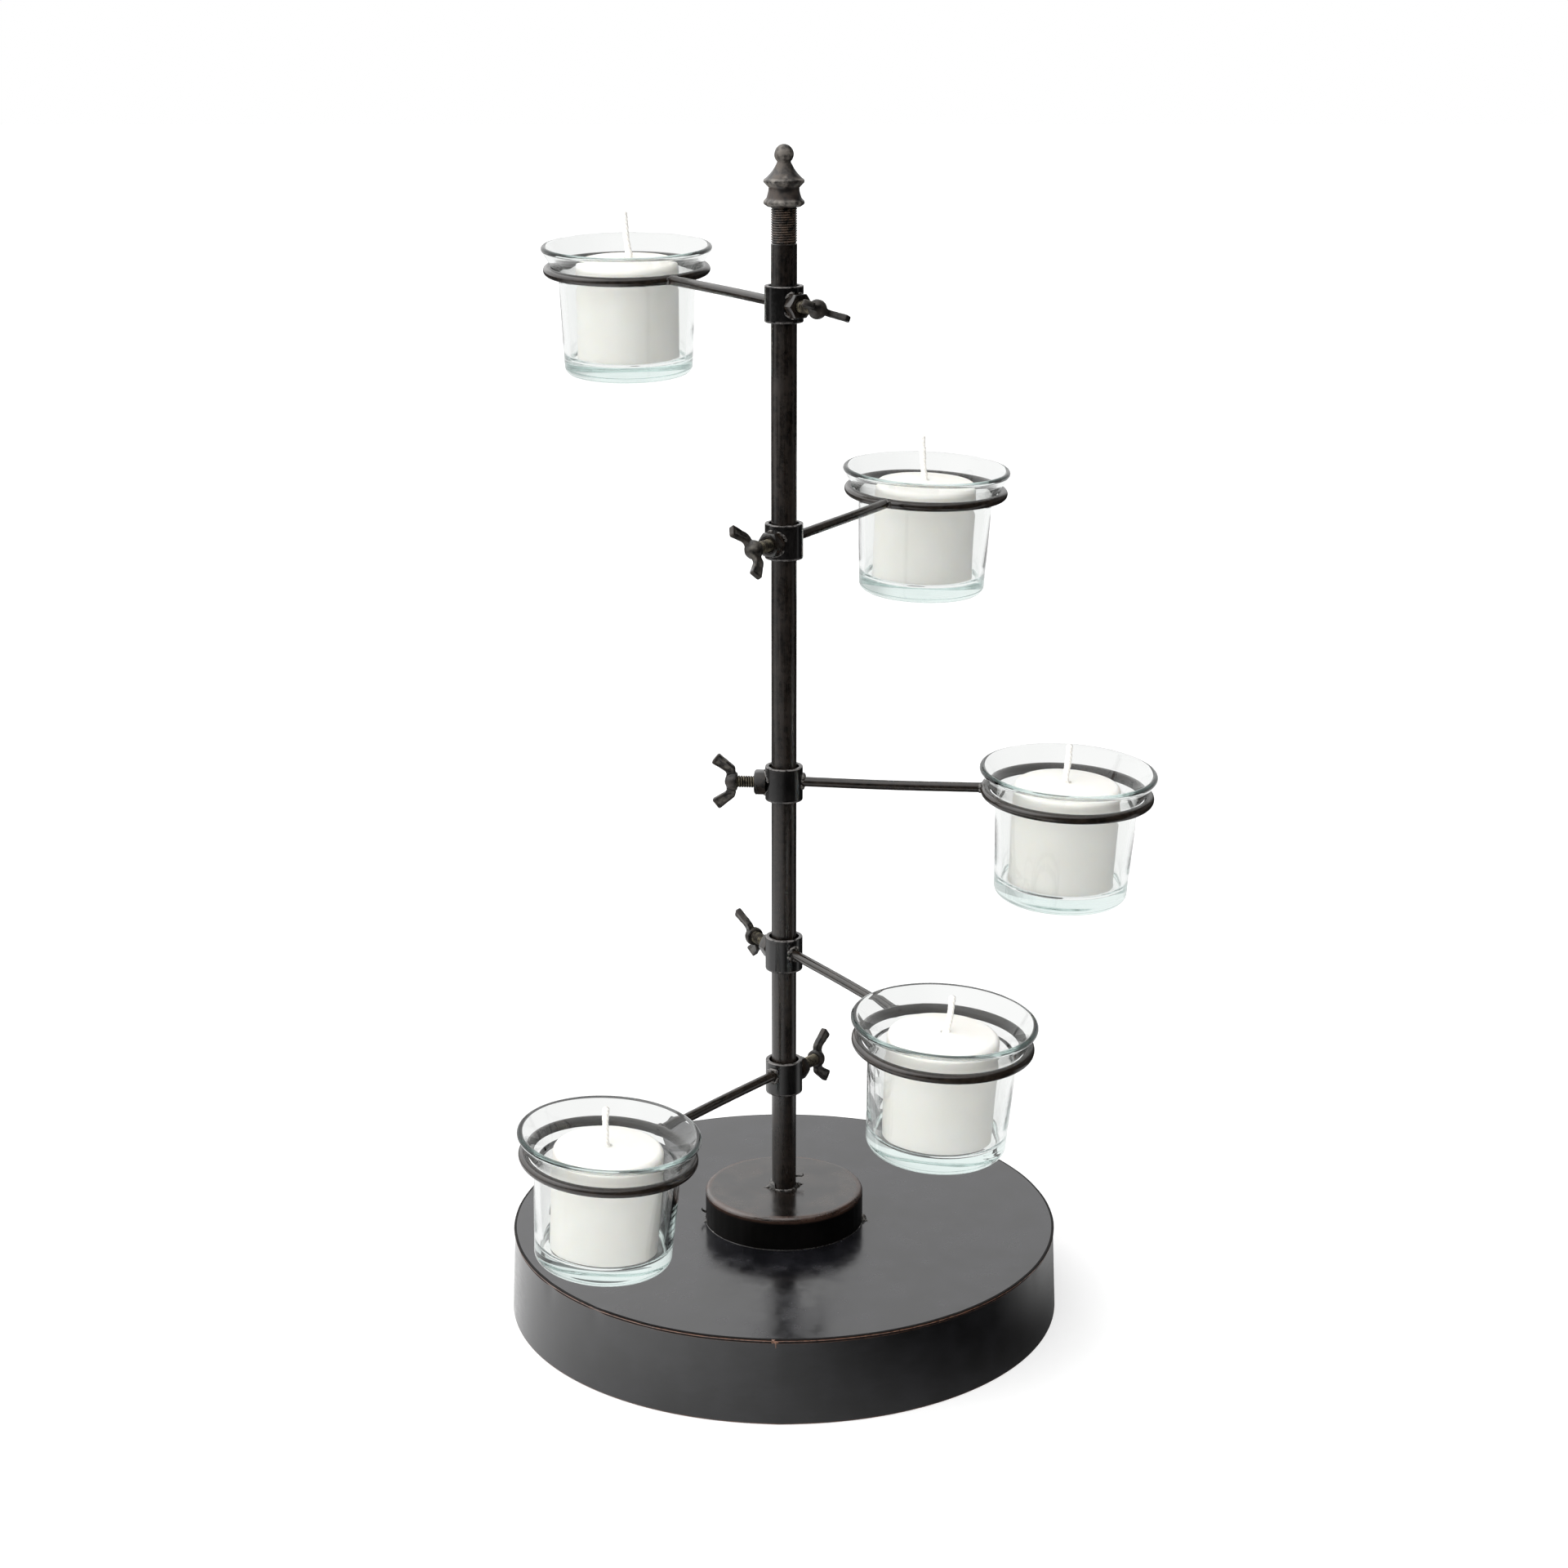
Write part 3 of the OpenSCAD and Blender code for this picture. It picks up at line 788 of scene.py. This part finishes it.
COLLAR_R = 7.7 * MM
COLLAR_BORE_R = 6.2 * MM
COLLAR_HALF = 7.2 * MM
LIP_H = 1.6 * MM
LIP_GAP = 0.04 * MM
WIRE_R = 2.0 * MM
RING_R = 33.3 * MM
NUT_FLATS = 9.2 * MM
NUT_T = 4.7 * MM
NUT_IN = 7.4 * MM
NUT_BEAD_R = 5.0 * MM
STUD_R = 2.5 * MM
STUD_PITCH = 1.0 * MM


def rod_ends(n):
    """Middles of the two ends of rod n, near the collar first."""
    points = node_points(f"arm_rod_{n}")
    along = points @ np.array(arm_out(n))
    near = points[along < along.min() + 1.0 * MM].mean(0)
    far = points[along > along.max() - 1.0 * MM].mean(0)
    return Vector(near), Vector(far)


def on_collar(y, z, lift=0.0):
    """Point on the collar's skin, in the arm's frame."""
    r = COLLAR_R + lift
    return (math.sqrt(max(r * r - y * y, 0)), y, z)


def make_collar(n):
    place = arm_frame(n)
    top = COLLAR_HALF - LIP_H - LIP_GAP
    outline = rounded([(COLLAR_BORE_R, -COLLAR_HALF, 0.3 * MM, 0.2), (COLLAR_R, -COLLAR_HALF, 0.9 * MM, 0.5),
                       (COLLAR_R, top, 0, 0), (COLLAR_BORE_R, top, 0, 0)], steps=6)
    outline = spread(outline, 0.8 * MM, closed=True)
    body = revolve(f"collar_body_{n}", outline, M_COLLAR, 96, place)
    hole_r, through = STUD_R + 0.2 * MM, 12 * MM
    hole = revolve("hole", [(0, 0), (hole_r, 0), (hole_r, through), (0, through)], M_COLLAR, 48, screw_frame(n))
    cut(body, hole)
    near, _ = rod_ends(n)
    z = (place.inverted() @ near).z
    beads = []
    for i, (radius, size, start, end) in enumerate(((2.5, 0.95, 20, 175), (2.6, 0.85, 195, 350))):
        path = []
        for t in np.radians(np.linspace(start, end, 30)):
            wobble = 1 + 0.12 * math.sin(3 * t + n)
            y, h = radius * wobble * MM * math.cos(t), z + radius * wobble * MM * math.sin(t)
            path.append(on_collar(y, h, 0.15 * MM))
        beads.append(tube(f"rod_bead_{n}_{i}", path, bead_radius(size * MM, 5, n + i), M_WELD, 12, place=place,
                          wear=0.4))
    for i, (start, end) in enumerate(((25, 85), (100, 170), (205, 330))):
        path = []
        for t in np.radians(np.linspace(start + 9 * n % 11, end, 24)):
            x, y, h = on_collar(NUT_BEAD_R * math.cos(t), NUT_BEAD_R * math.sin(t), 0.1 * MM)
            path.append((-x, y, h))
        beads.append(tube(f"nut_bead_{n}_{i}", path, bead_radius(0.6 * MM, 5, 2 * n + i), M_WELD, 12, place=place,
                          wear=0.5))
    weld = beads[0]
    join(weld, beads[1:])
    weld.name = f"collar_welds_{n}"
    fit_out(body, f"arm_{n}", "patina_steel", f"collar_{n}")
    fit_out(weld, f"arm_{n}", "weld_metal")


def make_collar_rim(n):
    low = COLLAR_HALF - LIP_H
    outline = rounded([(COLLAR_BORE_R, low, 0, 0), (COLLAR_R, low, 0, 0), (COLLAR_R, COLLAR_HALF, 0.35 * MM, 1.0),
                       (COLLAR_BORE_R, COLLAR_HALF, 0.3 * MM, 1.0)], steps=5)
    # The lip's top face gets wear of 0.8, with more on its edges, so it takes the collar patina's pale grey all
    # round: a painted highlight along the top rim, beside rubbed edges.
    outline = [(r, z, max(w, 0.8 if z > COLLAR_HALF - 0.05 * MM else w)) for r, z, w in outline]

    piece = revolve(f"collar_rim_{n}", spread(outline, 0.5 * MM, closed=True), M_COLLAR, 96, arm_frame(n))
    return fit_out(piece, f"slider_{n}", "patina_steel", f"collar_lip_{n}")


def make_nut(n):
    place = screw_frame(n)
    corner = NUT_FLATS / 2 / math.cos(math.radians(30))
    rows = np.array([[(corner * math.cos(t), corner * math.sin(t), z)
                      for t in np.radians(np.arange(6) * 60 + 30)] for z in (NUT_IN, NUT_IN + NUT_T)])
    nut = surface(f"hex_nut_{n}_body", rows, M_WIRE, 0.3, place, caps=((0, 0, NUT_IN), (0, 0, NUT_IN + NUT_T)))
    front = NUT_IN + NUT_T
    back, wide, hole = NUT_IN - MM, corner + 0.2 * MM, STUD_R + 0.05 * MM
    cone = revolve("cone", [(0, back), (wide, back), (wide, front - 0.75 * MM),
                            (NUT_FLATS / 2 - 0.15 * MM, front), (0, front)], M_WIRE, 64, place)
    cut(nut, cone, "INTERSECT")
    bore = revolve("bore", [(0, back), (hole, back), (hole, front - 0.5 * MM),
                            (STUD_R + 0.7 * MM, front + 0.2 * MM), (0, front + 0.2 * MM)], M_WIRE, 48, place)
    cut(nut, bore)
    edge = nut.modifiers.new("edge", "BEVEL")
    edge.width = 0.18 * MM
    edge.segments = 2
    edge.limit_method = "ANGLE"
    edge.angle_limit = math.radians(40)
    bake(nut)
    nut.data.set_sharp_from_angle(angle=math.radians(50))
    return fit_out(nut, f"arm_{n}", "patina_steel", f"hex_nut_{n}")


def make_rod(n):
    near, far = rod_ends(n)
    up = Vector((0, 0, 1))
    bow = up * (0.25 * MM * math.sin(1.7 * n)) + arm_out(n).cross(up) * 0.2 * MM * math.cos(2.3 * n)
    path = [near.lerp(far, t) + bow * math.sin(math.pi * t) for t in np.linspace(0, 1, 60)]

    def radius(share, angle):
        return np.full(len(angle), WIRE_R) * (1 + 0.008 * np.sin(9 * share + angle) + 0.006 * math.sin(60 * share))

    piece = tube(f"arm_rod_bar_{n}", path, radius, M_WIRE, 32, wear=0.15)
    return fit_out(piece, f"arm_{n}", "patina_steel", f"arm_rod_{n}")


def make_ring(n):
    place = ring_frame(n)
    path = []
    for t in np.linspace(0, 2 * math.pi, 192, endpoint=False):
        r = RING_R + 0.06 * MM * math.sin(3 * t + n)
        path.append((-r * math.cos(t), r * math.sin(t), 0.08 * MM * math.sin(2 * t + 2 * n)))

    def radius(share, angle):
        turn = 2 * math.pi * share
        at_rod = math.exp(-(turn_from(turn, 0.0) / 0.06) ** 2)
        at_butt = math.exp(-(turn_from(turn, 0.35) / 0.02) ** 2)
        lump = (0.10 * at_rod + 0.05 * at_butt) * (1 + 0.5 * np.sin(2 * angle + 40 * turn))
        return WIRE_R * (0.992 + 0.006 * np.sin(7 * turn + angle) + lump)

    piece = tube(f"cup_ring_wire_{n}", path, radius, M_WIRE, 28, closed=True, place=place, wear=0.18)
    fit_out(piece, f"arm_{n}", "patina_steel", f"cup_ring_{n}")
    _, far = rod_ends(n)
    local = place.inverted() @ far
    beads = []
    outside = RING_R + WIRE_R * 0.85
    for i, side in enumerate((1, -1)):
        path = [(-outside * math.cos(t) - 0.2 * MM, outside * math.sin(t),
                 local.z + side * 0.9 * MM * math.cos(8 * t)) for t in np.linspace(-0.085, 0.085, 22)]
        beads.append(tube(f"ring_bead_{n}_{i}", path, bead_radius(0.95 * MM, 4, 3 * n + i), M_WELD, 12, place=place,
                          wear=0.3))
    join(beads[0], beads[1:])
    beads[0].name = f"ring_weld_{n}"
    fit_out(beads[0], f"arm_{n}", "weld_metal")


# ---------------------------------------------------------------- thumb screws

def make_stud(n):
    start, end = POLE_R + 0.15 * MM, hub_in(n) + 3 * MM
    piece = threaded(f"screw_thread_{n}", STUD_R, 0.45 * MM, STUD_PITCH, start, end, M_ZINC, screw_frame(n), 40,
                     wear=1.0, chamfer=0.6 * MM)
    return fit_out(piece, f"screw_{n}", "zinc_steel", f"screw_stud_{n}")


def wing_turn(n):
    """Angle of the wing head on its screw, from its furthest point off the axis."""
    local = np.array([screw_frame(n).inverted() @ Vector(p) for p in node_points(f"wing_head_{n}")])
    far = local[np.argmax(np.hypot(local[:, 0], local[:, 1]))]
    return math.atan2(far[1], far[0])


WING_T = 2.5 * MM
RECESS_FROM = 4.6       # mm from the screw's axis, where the recess in a wing's face begins
RECESS_EDGE = 0.75      # mm of flat border round it
RECESS_DEPTH = 0.3 * MM
# Outline of one wing, in mm out from the screw's axis and along it
WING_OUTLINE = ((2.0, 0.9), (5.2, 0.7), (6.4, 1.0), (7.2, 1.8), (9.4, 4.4), (11.7, 7.0), (11.9, 7.5), (11.6, 8.0),
                (8.7, 10.2), (8.2, 10.3), (7.8, 10.0), (6.4, 7.7), (4.9, 5.3), (4.2, 4.6), (3.4, 4.4), (2.0, 4.6))
HUB_L = 5.2 * MM
HUB_R = 3.9 * MM


def hub_in(n):
    """Distance from the upright's axis to the near face of wing head n."""
    turned = screw_frame(n).inverted()
    return min((turned @ Vector(p)).z for p in node_points(f"wing_head_{n}"))


def border_distance(x, y):
    """Distance of points from the wing's outline, in mm."""
    outline = np.array(WING_OUTLINE)
    best = np.full(len(x), 1e9)
    for p, q in zip(outline, np.roll(outline, -1, 0)):
        d = q - p
        t = np.clip(((x - p[0]) * d[0] + (y - p[1]) * d[1]) / max(d @ d, 1e-12), 0, 1)
        best = np.minimum(best, np.hypot(x - p[0] - t * d[0], y - p[1] - t * d[1]))
    return best


def make_wing_head(n):
    hub = revolve(f"wing_casting_{n}", [(0, 0, 0), (STUD_R + 0.6 * MM, 0, 0)]
                  + arc(0, HUB_L - HUB_R, HUB_R, -18, 90, 14)[:-1] + [(0, HUB_L, 0)], M_WING, 48)
    for side in (1, -1):
        rows = np.array([[(side * x * MM, y_half, h * MM) for x, h in WING_OUTLINE]
                         for y_half in (-WING_T / 2, WING_T / 2)])
        bm = bmesh.new()
        near, far = ([bm.verts.new(p) for p in row] for row in rows)
        for j in range(len(near)):
            k = (j + 1) % len(near)
            bm.faces.new((near[j], near[k], far[k], far[j]))
        bm.faces.new(near)
        bm.faces.new(far)
        cut(hub, finish_mesh("wing", bm, M_WING), "UNION")
    grain = hub.modifiers.new("grain", "REMESH")
    grain.mode = "VOXEL"
    grain.voxel_size = 0.26 * MM
    soft = hub.modifiers.new("soft", "SMOOTH")
    soft.factor = 0.6
    soft.iterations = 7
    bake(hub)
    mesh = hub.data
    co = mesh_points(mesh)
    x, h = np.abs(co[:, 0]) / MM, co[:, 2] / MM
    on_face = (np.abs(co[:, 1]) > 0.75 * WING_T / 2) & (x > RECESS_FROM) & (np.abs(co[:, 1]) < WING_T)
    depth = np.clip((border_distance(x, h) - RECESS_EDGE) / 0.7, 0, 1)
    depth = depth * depth * (3 - 2 * depth) * np.clip((x - RECESS_FROM) / 1.2, 0, 1)
    co[:, 1] -= np.sign(co[:, 1]) * np.where(on_face, RECESS_DEPTH * depth, 0)
    co += 0.03 * MM * np.sin(co[:, [1, 2, 0]] * 2300 + n)
    # Each wing's recessed face is made paler than its rounded borders through the wear attribute: up to 0.8 of the
    # way to the casting's light tone there, and 0.1 elsewhere.
    worn = np.where(on_face, depth * 0.8, 0.1)
    mesh.vertices.foreach_set("co", co.reshape(-1))
    layer = mesh.attributes.new("wear", "FLOAT", "POINT")
    layer.data.foreach_set("value", worn.astype(np.float32))
    mesh.polygons.foreach_set("use_smooth", [True] * len(mesh.polygons))
    near = hub_in(n)
    place = screw_frame(n) @ Matrix.Translation((0, 0, near)) @ Matrix.Rotation(wing_turn(n), 4, "Z")
    mesh.transform(place)
    hole, start, end = STUD_R + 0.06 * MM, near - 2 * MM, near + 3.15 * MM
    bore = revolve("bore", [(0, start), (hole, start), (hole, end), (0, end)], M_WING, 40, screw_frame(n))
    cut(hub, bore)
    return fit_out(hub, f"wing_{n}", "cast_metal", f"wing_head_{n}")


# ---------------------------------------------------------------- cup, candle and wick

CUP_DEPTH = 44.0
RIM_Z = 9.0
BEAD_R = 1.25
BEAD_X = 36.2 - BEAD_R
WALL_LOW, WALL_HIGH, WALL_T = 27.4, 28.95, 2.4
FLOOR_T = 6.5
CANDLE_R = 21.7
CANDLE_TOP = 4.0
CANDLE_DOME = 1.2
WICK_R = 1.4


def in_mm(outline):
    return [(p[0] * MM, p[1] * MM, p[2] if len(p) > 2 else 0.0) for p in outline]


def make_glass(n):
    low = -CUP_DEPTH
    outline = [(0, low + 0.9), (16, low + 0.75), (20, low + 0.35), (22, low + 0.06), (23, low)]
    outline += arc(WALL_LOW - 3.5, low + 3.5, 3.5, -80, 0, 12)
    outline += bend((WALL_LOW + 0.15, low + 8), (WALL_HIGH - 0.6, low + 22), (WALL_HIGH, -3.6), 18)
    outline += bend((WALL_HIGH, -3), (30.6, -0.3), (BEAD_X + 0.9, RIM_Z - 0.85), 14)
    outline += arc(BEAD_X, RIM_Z, BEAD_R, -30, 150, 16)
    outline += bend((BEAD_X - 1.15, RIM_Z + 0.5), (28.4, 1.2), (WALL_HIGH - WALL_T, -4), 16)
    inside = WALL_LOW - WALL_T
    outline += bend((WALL_HIGH - WALL_T, -6), (WALL_HIGH - WALL_T - 0.4, low + 24), (inside, low + FLOOR_T + 5), 14)
    outline += arc(inside - 3, low + FLOOR_T + 3, 3, 0, -90, 10)
    outline += [(18, low + FLOOR_T), (8, low + FLOOR_T + 0.02), (0, low + FLOOR_T + 0.03)]

    def warp(r, z, a):
        sway = 0.05 * MM * (wave((a, 2, n), (a, 5, 2 * n), (a, 9, 0.6 * n)) - 1.6)
        return r + sway * np.clip(r / (25 * MM), 0, 1), z

    piece = revolve(f"cup_glass_{n}", in_mm(outline), M_GLASS, 160, ring_frame(n), warp=warp, sharp=70.0)
    return fit_out(piece, f"cup_{n}", "clear_glass", f"glass_cup_{n}")


def make_candle(n):
    low = -CUP_DEPTH + FLOOR_T + 0.15
    outline = [(WICK_R + 0.05, low)] + arc(CANDLE_R - 1, low + 1, 1, -90, 0, 5)
    outline += [(CANDLE_R, z) for z in np.linspace(low + 4, CANDLE_TOP - 4, 12)]
    outline += arc(CANDLE_R - 2.4, CANDLE_TOP - 2.4, 2.4, 0, 90, 10)
    for r in np.linspace(CANDLE_R - 3.6, 2.4, 14):
        rise = CANDLE_DOME * (1 - (r / (CANDLE_R - 2.4)) ** 2)
        outline.append((r, CANDLE_TOP + rise - 0.3 * math.exp(-((r - 2) / 2.5) ** 2)))
    outline += [(WICK_R + 0.05, CANDLE_TOP + CANDLE_DOME - 0.45)]

    def warp(r, z, a):
        slow = 0.08 * MM * wave((a, 3, n), (a, 7, 1.7 * n), (z, 160, n))
        edge = np.clip(z / MM + 1, 0, 1)
        lumps = 0.1 * MM * edge * wave((r * np.cos(a), 180, n), (r * np.sin(a), 210, 2 * n))
        return r + slow * (r > 15 * MM), z + lumps

    piece = revolve(f"candle_wax_{n}", in_mm(outline), M_WAX, 96, ring_frame(n), warp=warp, sharp=60.0)
    return fit_out(piece, f"candle_{n}", "wax", f"candle_{n}")


# How far each wick stands to the right of its candle's middle, at the wax and at its tip, in mm
WICK_SIDE = ((1.1, -0.6), (-0.8, -2.4), (-1.2, -0.3), (1.1, 2.3), (-1.5, -1.9))
WICK_BURIED = 22        # points of a wick's path before the round of its root, near the wax
WICK_ROWS = 12, 70      # points of that path below the wax, and from just under it to the tip


def make_wick(n):
    place = ring_frame(n)
    local = np.array([place.inverted() @ Vector(p) for p in node_points(f"wick_{n}")])
    low, high = local[:, 2].min(), local[:, 2].max()
    top = (CANDLE_TOP + CANDLE_DOME) * MM
    right = (place.inverted().to_3x3() @ Vector((1, 0, 0))).normalized()
    foot, tip = WICK_SIDE[n - 1]
    path = []
    deep, bare = WICK_ROWS
    for z in np.concatenate([np.linspace(low, top - 3 * MM, deep), np.linspace(top - 2.5 * MM, high, bare)]):
        over = max(0.0, (z - top) / (high - top))
        below = min(1.0, max(0.0, (z - top + 3 * MM) / (3 * MM)))
        ease = 1 - (1 - min(1.0, over * 1.15)) ** 1.5
        off = (foot * below ** 2 + (tip - foot) * ease) * MM + 0.1 * MM * math.sin(9 * over + n) * over
        back = 0.15 * MM * math.sin(7 * over + 2 * n) * over
        path.append((right.x * off - right.y * back, right.y * off + right.x * back, z))

    def radius(share, angle):
        over = max(0.0, (share * len(path) - WICK_BURIED) / (len(path) - WICK_BURIED))
        braid = 0.045 * np.sin(2 * angle + 170 * share) + 0.03 * np.sin(3 * angle - 110 * share + n)
        swell = 0.05 * math.sin(11 * over + n) + 0.03 * math.sin(31 * over)
        tip = math.sqrt(max(0.05, min(1.0, (1 - over) / 0.05))) if over > 0.9 else 1.0
        root = 0.16 * math.exp(-(over / 0.1) ** 2) if over > 0 else 0.0
        return WICK_R * MM * (0.92 + root + (braid + swell) * (over > 0)) * tip

    piece = tube(f"wick_braid_{n}", path, radius, M_WICK, 20, place=place)
    return fit_out(piece, f"candle_{n}", "wick_cord", f"wick_{n}")


# ---------------------------------------------------------------- studio

FLOOR_HALF = 8.0
FLOOR_BELOW = 0.2 * MM
# The floor's own brightness and its paper tone, as the camera sees them
FLOOR_GLOW = 0.56
FLOOR_LIT = 0.55
# Ramps of the floor's brightness: axis, from and to in metres, and the brightness at each end.
# Those in a set are multiplied. The first two sets are what the lacquer mirrors, and they add up.
FLOOR_MIRRORED = (("X", -0.25, 0.15, 1.45, 0.03), ("X", -0.9, -0.25, 0.45, 1.0),
                  ("Y", -0.9, -0.2, 0.06, 1.0), ("Y", 0.12, 0.5, 1.0, 0.13))
FLOOR_PATCH = (("X", 0.10, 0.17, 0.0, 0.6), ("Y", -0.08, 0.03, 0.0, 1.0), ("Y", 0.06, 0.17, 1.0, 0.03))
FLOOR_IN_GLASS = (("Y", -0.8, -0.1, 0.6, 1.0),)
FLOOR_ON_MATT = (("X", -0.5, 0.5, 1.45, 0.62),)

# Soft lights of the sky: direction, brightness, and the cosines at which each begins and is full.
# The first set is mirrored in the lacquer and the second falls on matt surfaces.
MIRRORED = (
    ((-0.9, 0.2, 0.3), 1.5, 0.25, 0.9),
    ((0.0, 1.0, 0.4), 0.9, 0.78, 0.97),
    ((-0.3, -0.1, 1.0), 1.6, 0.4, 0.97),
    ((0.7, 0.7, 0.05), 0.1, 0.7, 0.95),
)
MATT = (
    ((-0.9, -0.1, 0.12), 1.7, -0.2, 0.9),
    ((-0.1, -1.0, 0.12), 1.5, -0.1, 0.9),
)
AMBIENT = 0.02
MATT_AMBIENT = 0.12
THROUGH_GLASS = 0.62    # the least that the sky shows in and through clear glass
# Enough turns for light to leave the thick glass, which is black where its path is cut off
BOUNCES = {"max_bounces": 24, "glossy_bounces": 16, "transmission_bounces": 16}


def ray_kinds(s):
    """1 for the camera's own rays, 1 for what is met through or in clear glass, and 1 for light
    that a matt surface gathers; each is 0 for the rest."""
    path = s.add("ShaderNodeLightPath").outputs
    scattered = s.maths("GREATER_THAN", path["Diffuse Depth"], 0.5)
    clear = s.maths("MAXIMUM", path["Is Transmission Ray"], path["Is Singular Ray"])
    clear = s.maths("MULTIPLY", clear, s.maths("SUBTRACT", 1.0, scattered))
    return path["Is Camera Ray"], clear, scattered


def mix(s, share, a, b):
    """a where share is 0 and b where it is 1, for plain numbers."""
    return s.maths("ADD", s.maths("MULTIPLY", s.maths("SUBTRACT", 1.0, share), a), s.maths("MULTIPLY", share, b))


def across_floor(s, where, ramps):
    """Product of ramps over the floor."""
    values = [s.span(where[axis], low, high, at_low, at_high) for axis, low, high, at_low, at_high in ramps]
    total = values[0]
    for value in values[1:]:
        total = s.maths("MULTIPLY", total, value)
    return total


def make_floor():
    bm = bmesh.new()
    bmesh.ops.create_grid(bm, x_segments=1, y_segments=1, size=FLOOR_HALF)
    s = Shader("studio_floor")
    direct, clear, scattered = ray_kinds(s)
    where = s.add("ShaderNodeSeparateXYZ", {0: s.place()}).outputs
    strength = s.maths("ADD", across_floor(s, where, FLOOR_MIRRORED), across_floor(s, where, FLOOR_PATCH))
    strength = mix(s, clear, strength, across_floor(s, where, FLOOR_IN_GLASS))
    strength = mix(s, scattered, strength, across_floor(s, where, FLOOR_ON_MATT))
    strength = mix(s, direct, strength, FLOOR_GLOW)
    glow = s.add("ShaderNodeEmission", {"Strength": strength}).outputs[0]
    paper = s.span(s.noise(220.0, 3.0), 0.3, 0.7, FLOOR_LIT - 0.01, FLOOR_LIT + 0.01)
    shade = s.maths("MULTIPLY", paper, direct)
    tone = s.add("ShaderNodeCombineColor", {0: shade, 1: shade, 2: shade}).outputs[0]
    lit = s.add("ShaderNodeBsdfDiffuse", {"Color": tone}).outputs[0]
    floor = finish_mesh("floor", bm, s.output(s.add("ShaderNodeAddShader", {0: lit, 1: glow}).outputs[0]))
    floor.location.z = CAD_BOX[0].z - FLOOR_BELOW


def lobes(s, toward, lights, total):
    """total, with soft lights in the given directions added to it."""
    for direction, bright, start, full in lights:
        unit = Vector(direction).normalized()
        facing = s.add("ShaderNodeVectorMath", {0: toward, 1: unit}, operation="DOT_PRODUCT").outputs["Value"]
        total = s.maths("ADD", s.span(facing, start, full, 0.0, bright), total)
    return total


def make_world():
    world = bpy.data.worlds.new("studio")
    world.use_nodes = True
    bpy.context.scene.world = world
    s = Shader(tree=world.node_tree)
    toward = s.add("ShaderNodeTexCoord").outputs["Generated"]
    direct, clear, scattered = ray_kinds(s)
    total = lobes(s, toward, MIRRORED, AMBIENT)
    lifted = s.maths("ADD", s.maths("MULTIPLY", total, 1 - THROUGH_GLASS), THROUGH_GLASS)
    strength = mix(s, clear, total, s.maths("MINIMUM", lifted, 1.0))
    strength = mix(s, scattered, strength, lobes(s, toward, MATT, MATT_AMBIENT))
    strength = mix(s, direct, strength, 1.0)
    back = s.add("ShaderNodeBackground", {"Color": (1, 1, 1, 1), "Strength": strength})
    s.add("ShaderNodeOutputWorld", {"Surface": back.outputs[0]})


# ---------------------------------------------------------------- build

bpy.context.scene.view_settings.view_transform = "Standard"
for limit, count in BOUNCES.items():
    setattr(bpy.context.scene.cycles, limit, count)

for make in (make_floor, make_world, make_base_top, make_base_side, make_base_bottom, make_socket, make_socket_welds,
             make_pole, make_pole_foot_weld, make_finial):
    make()
for arm in ARMS:
    for make in (make_collar, make_collar_rim, make_nut, make_rod, make_ring, make_stud, make_wing_head, make_glass,
                 make_candle, make_wick):
        make(arm)
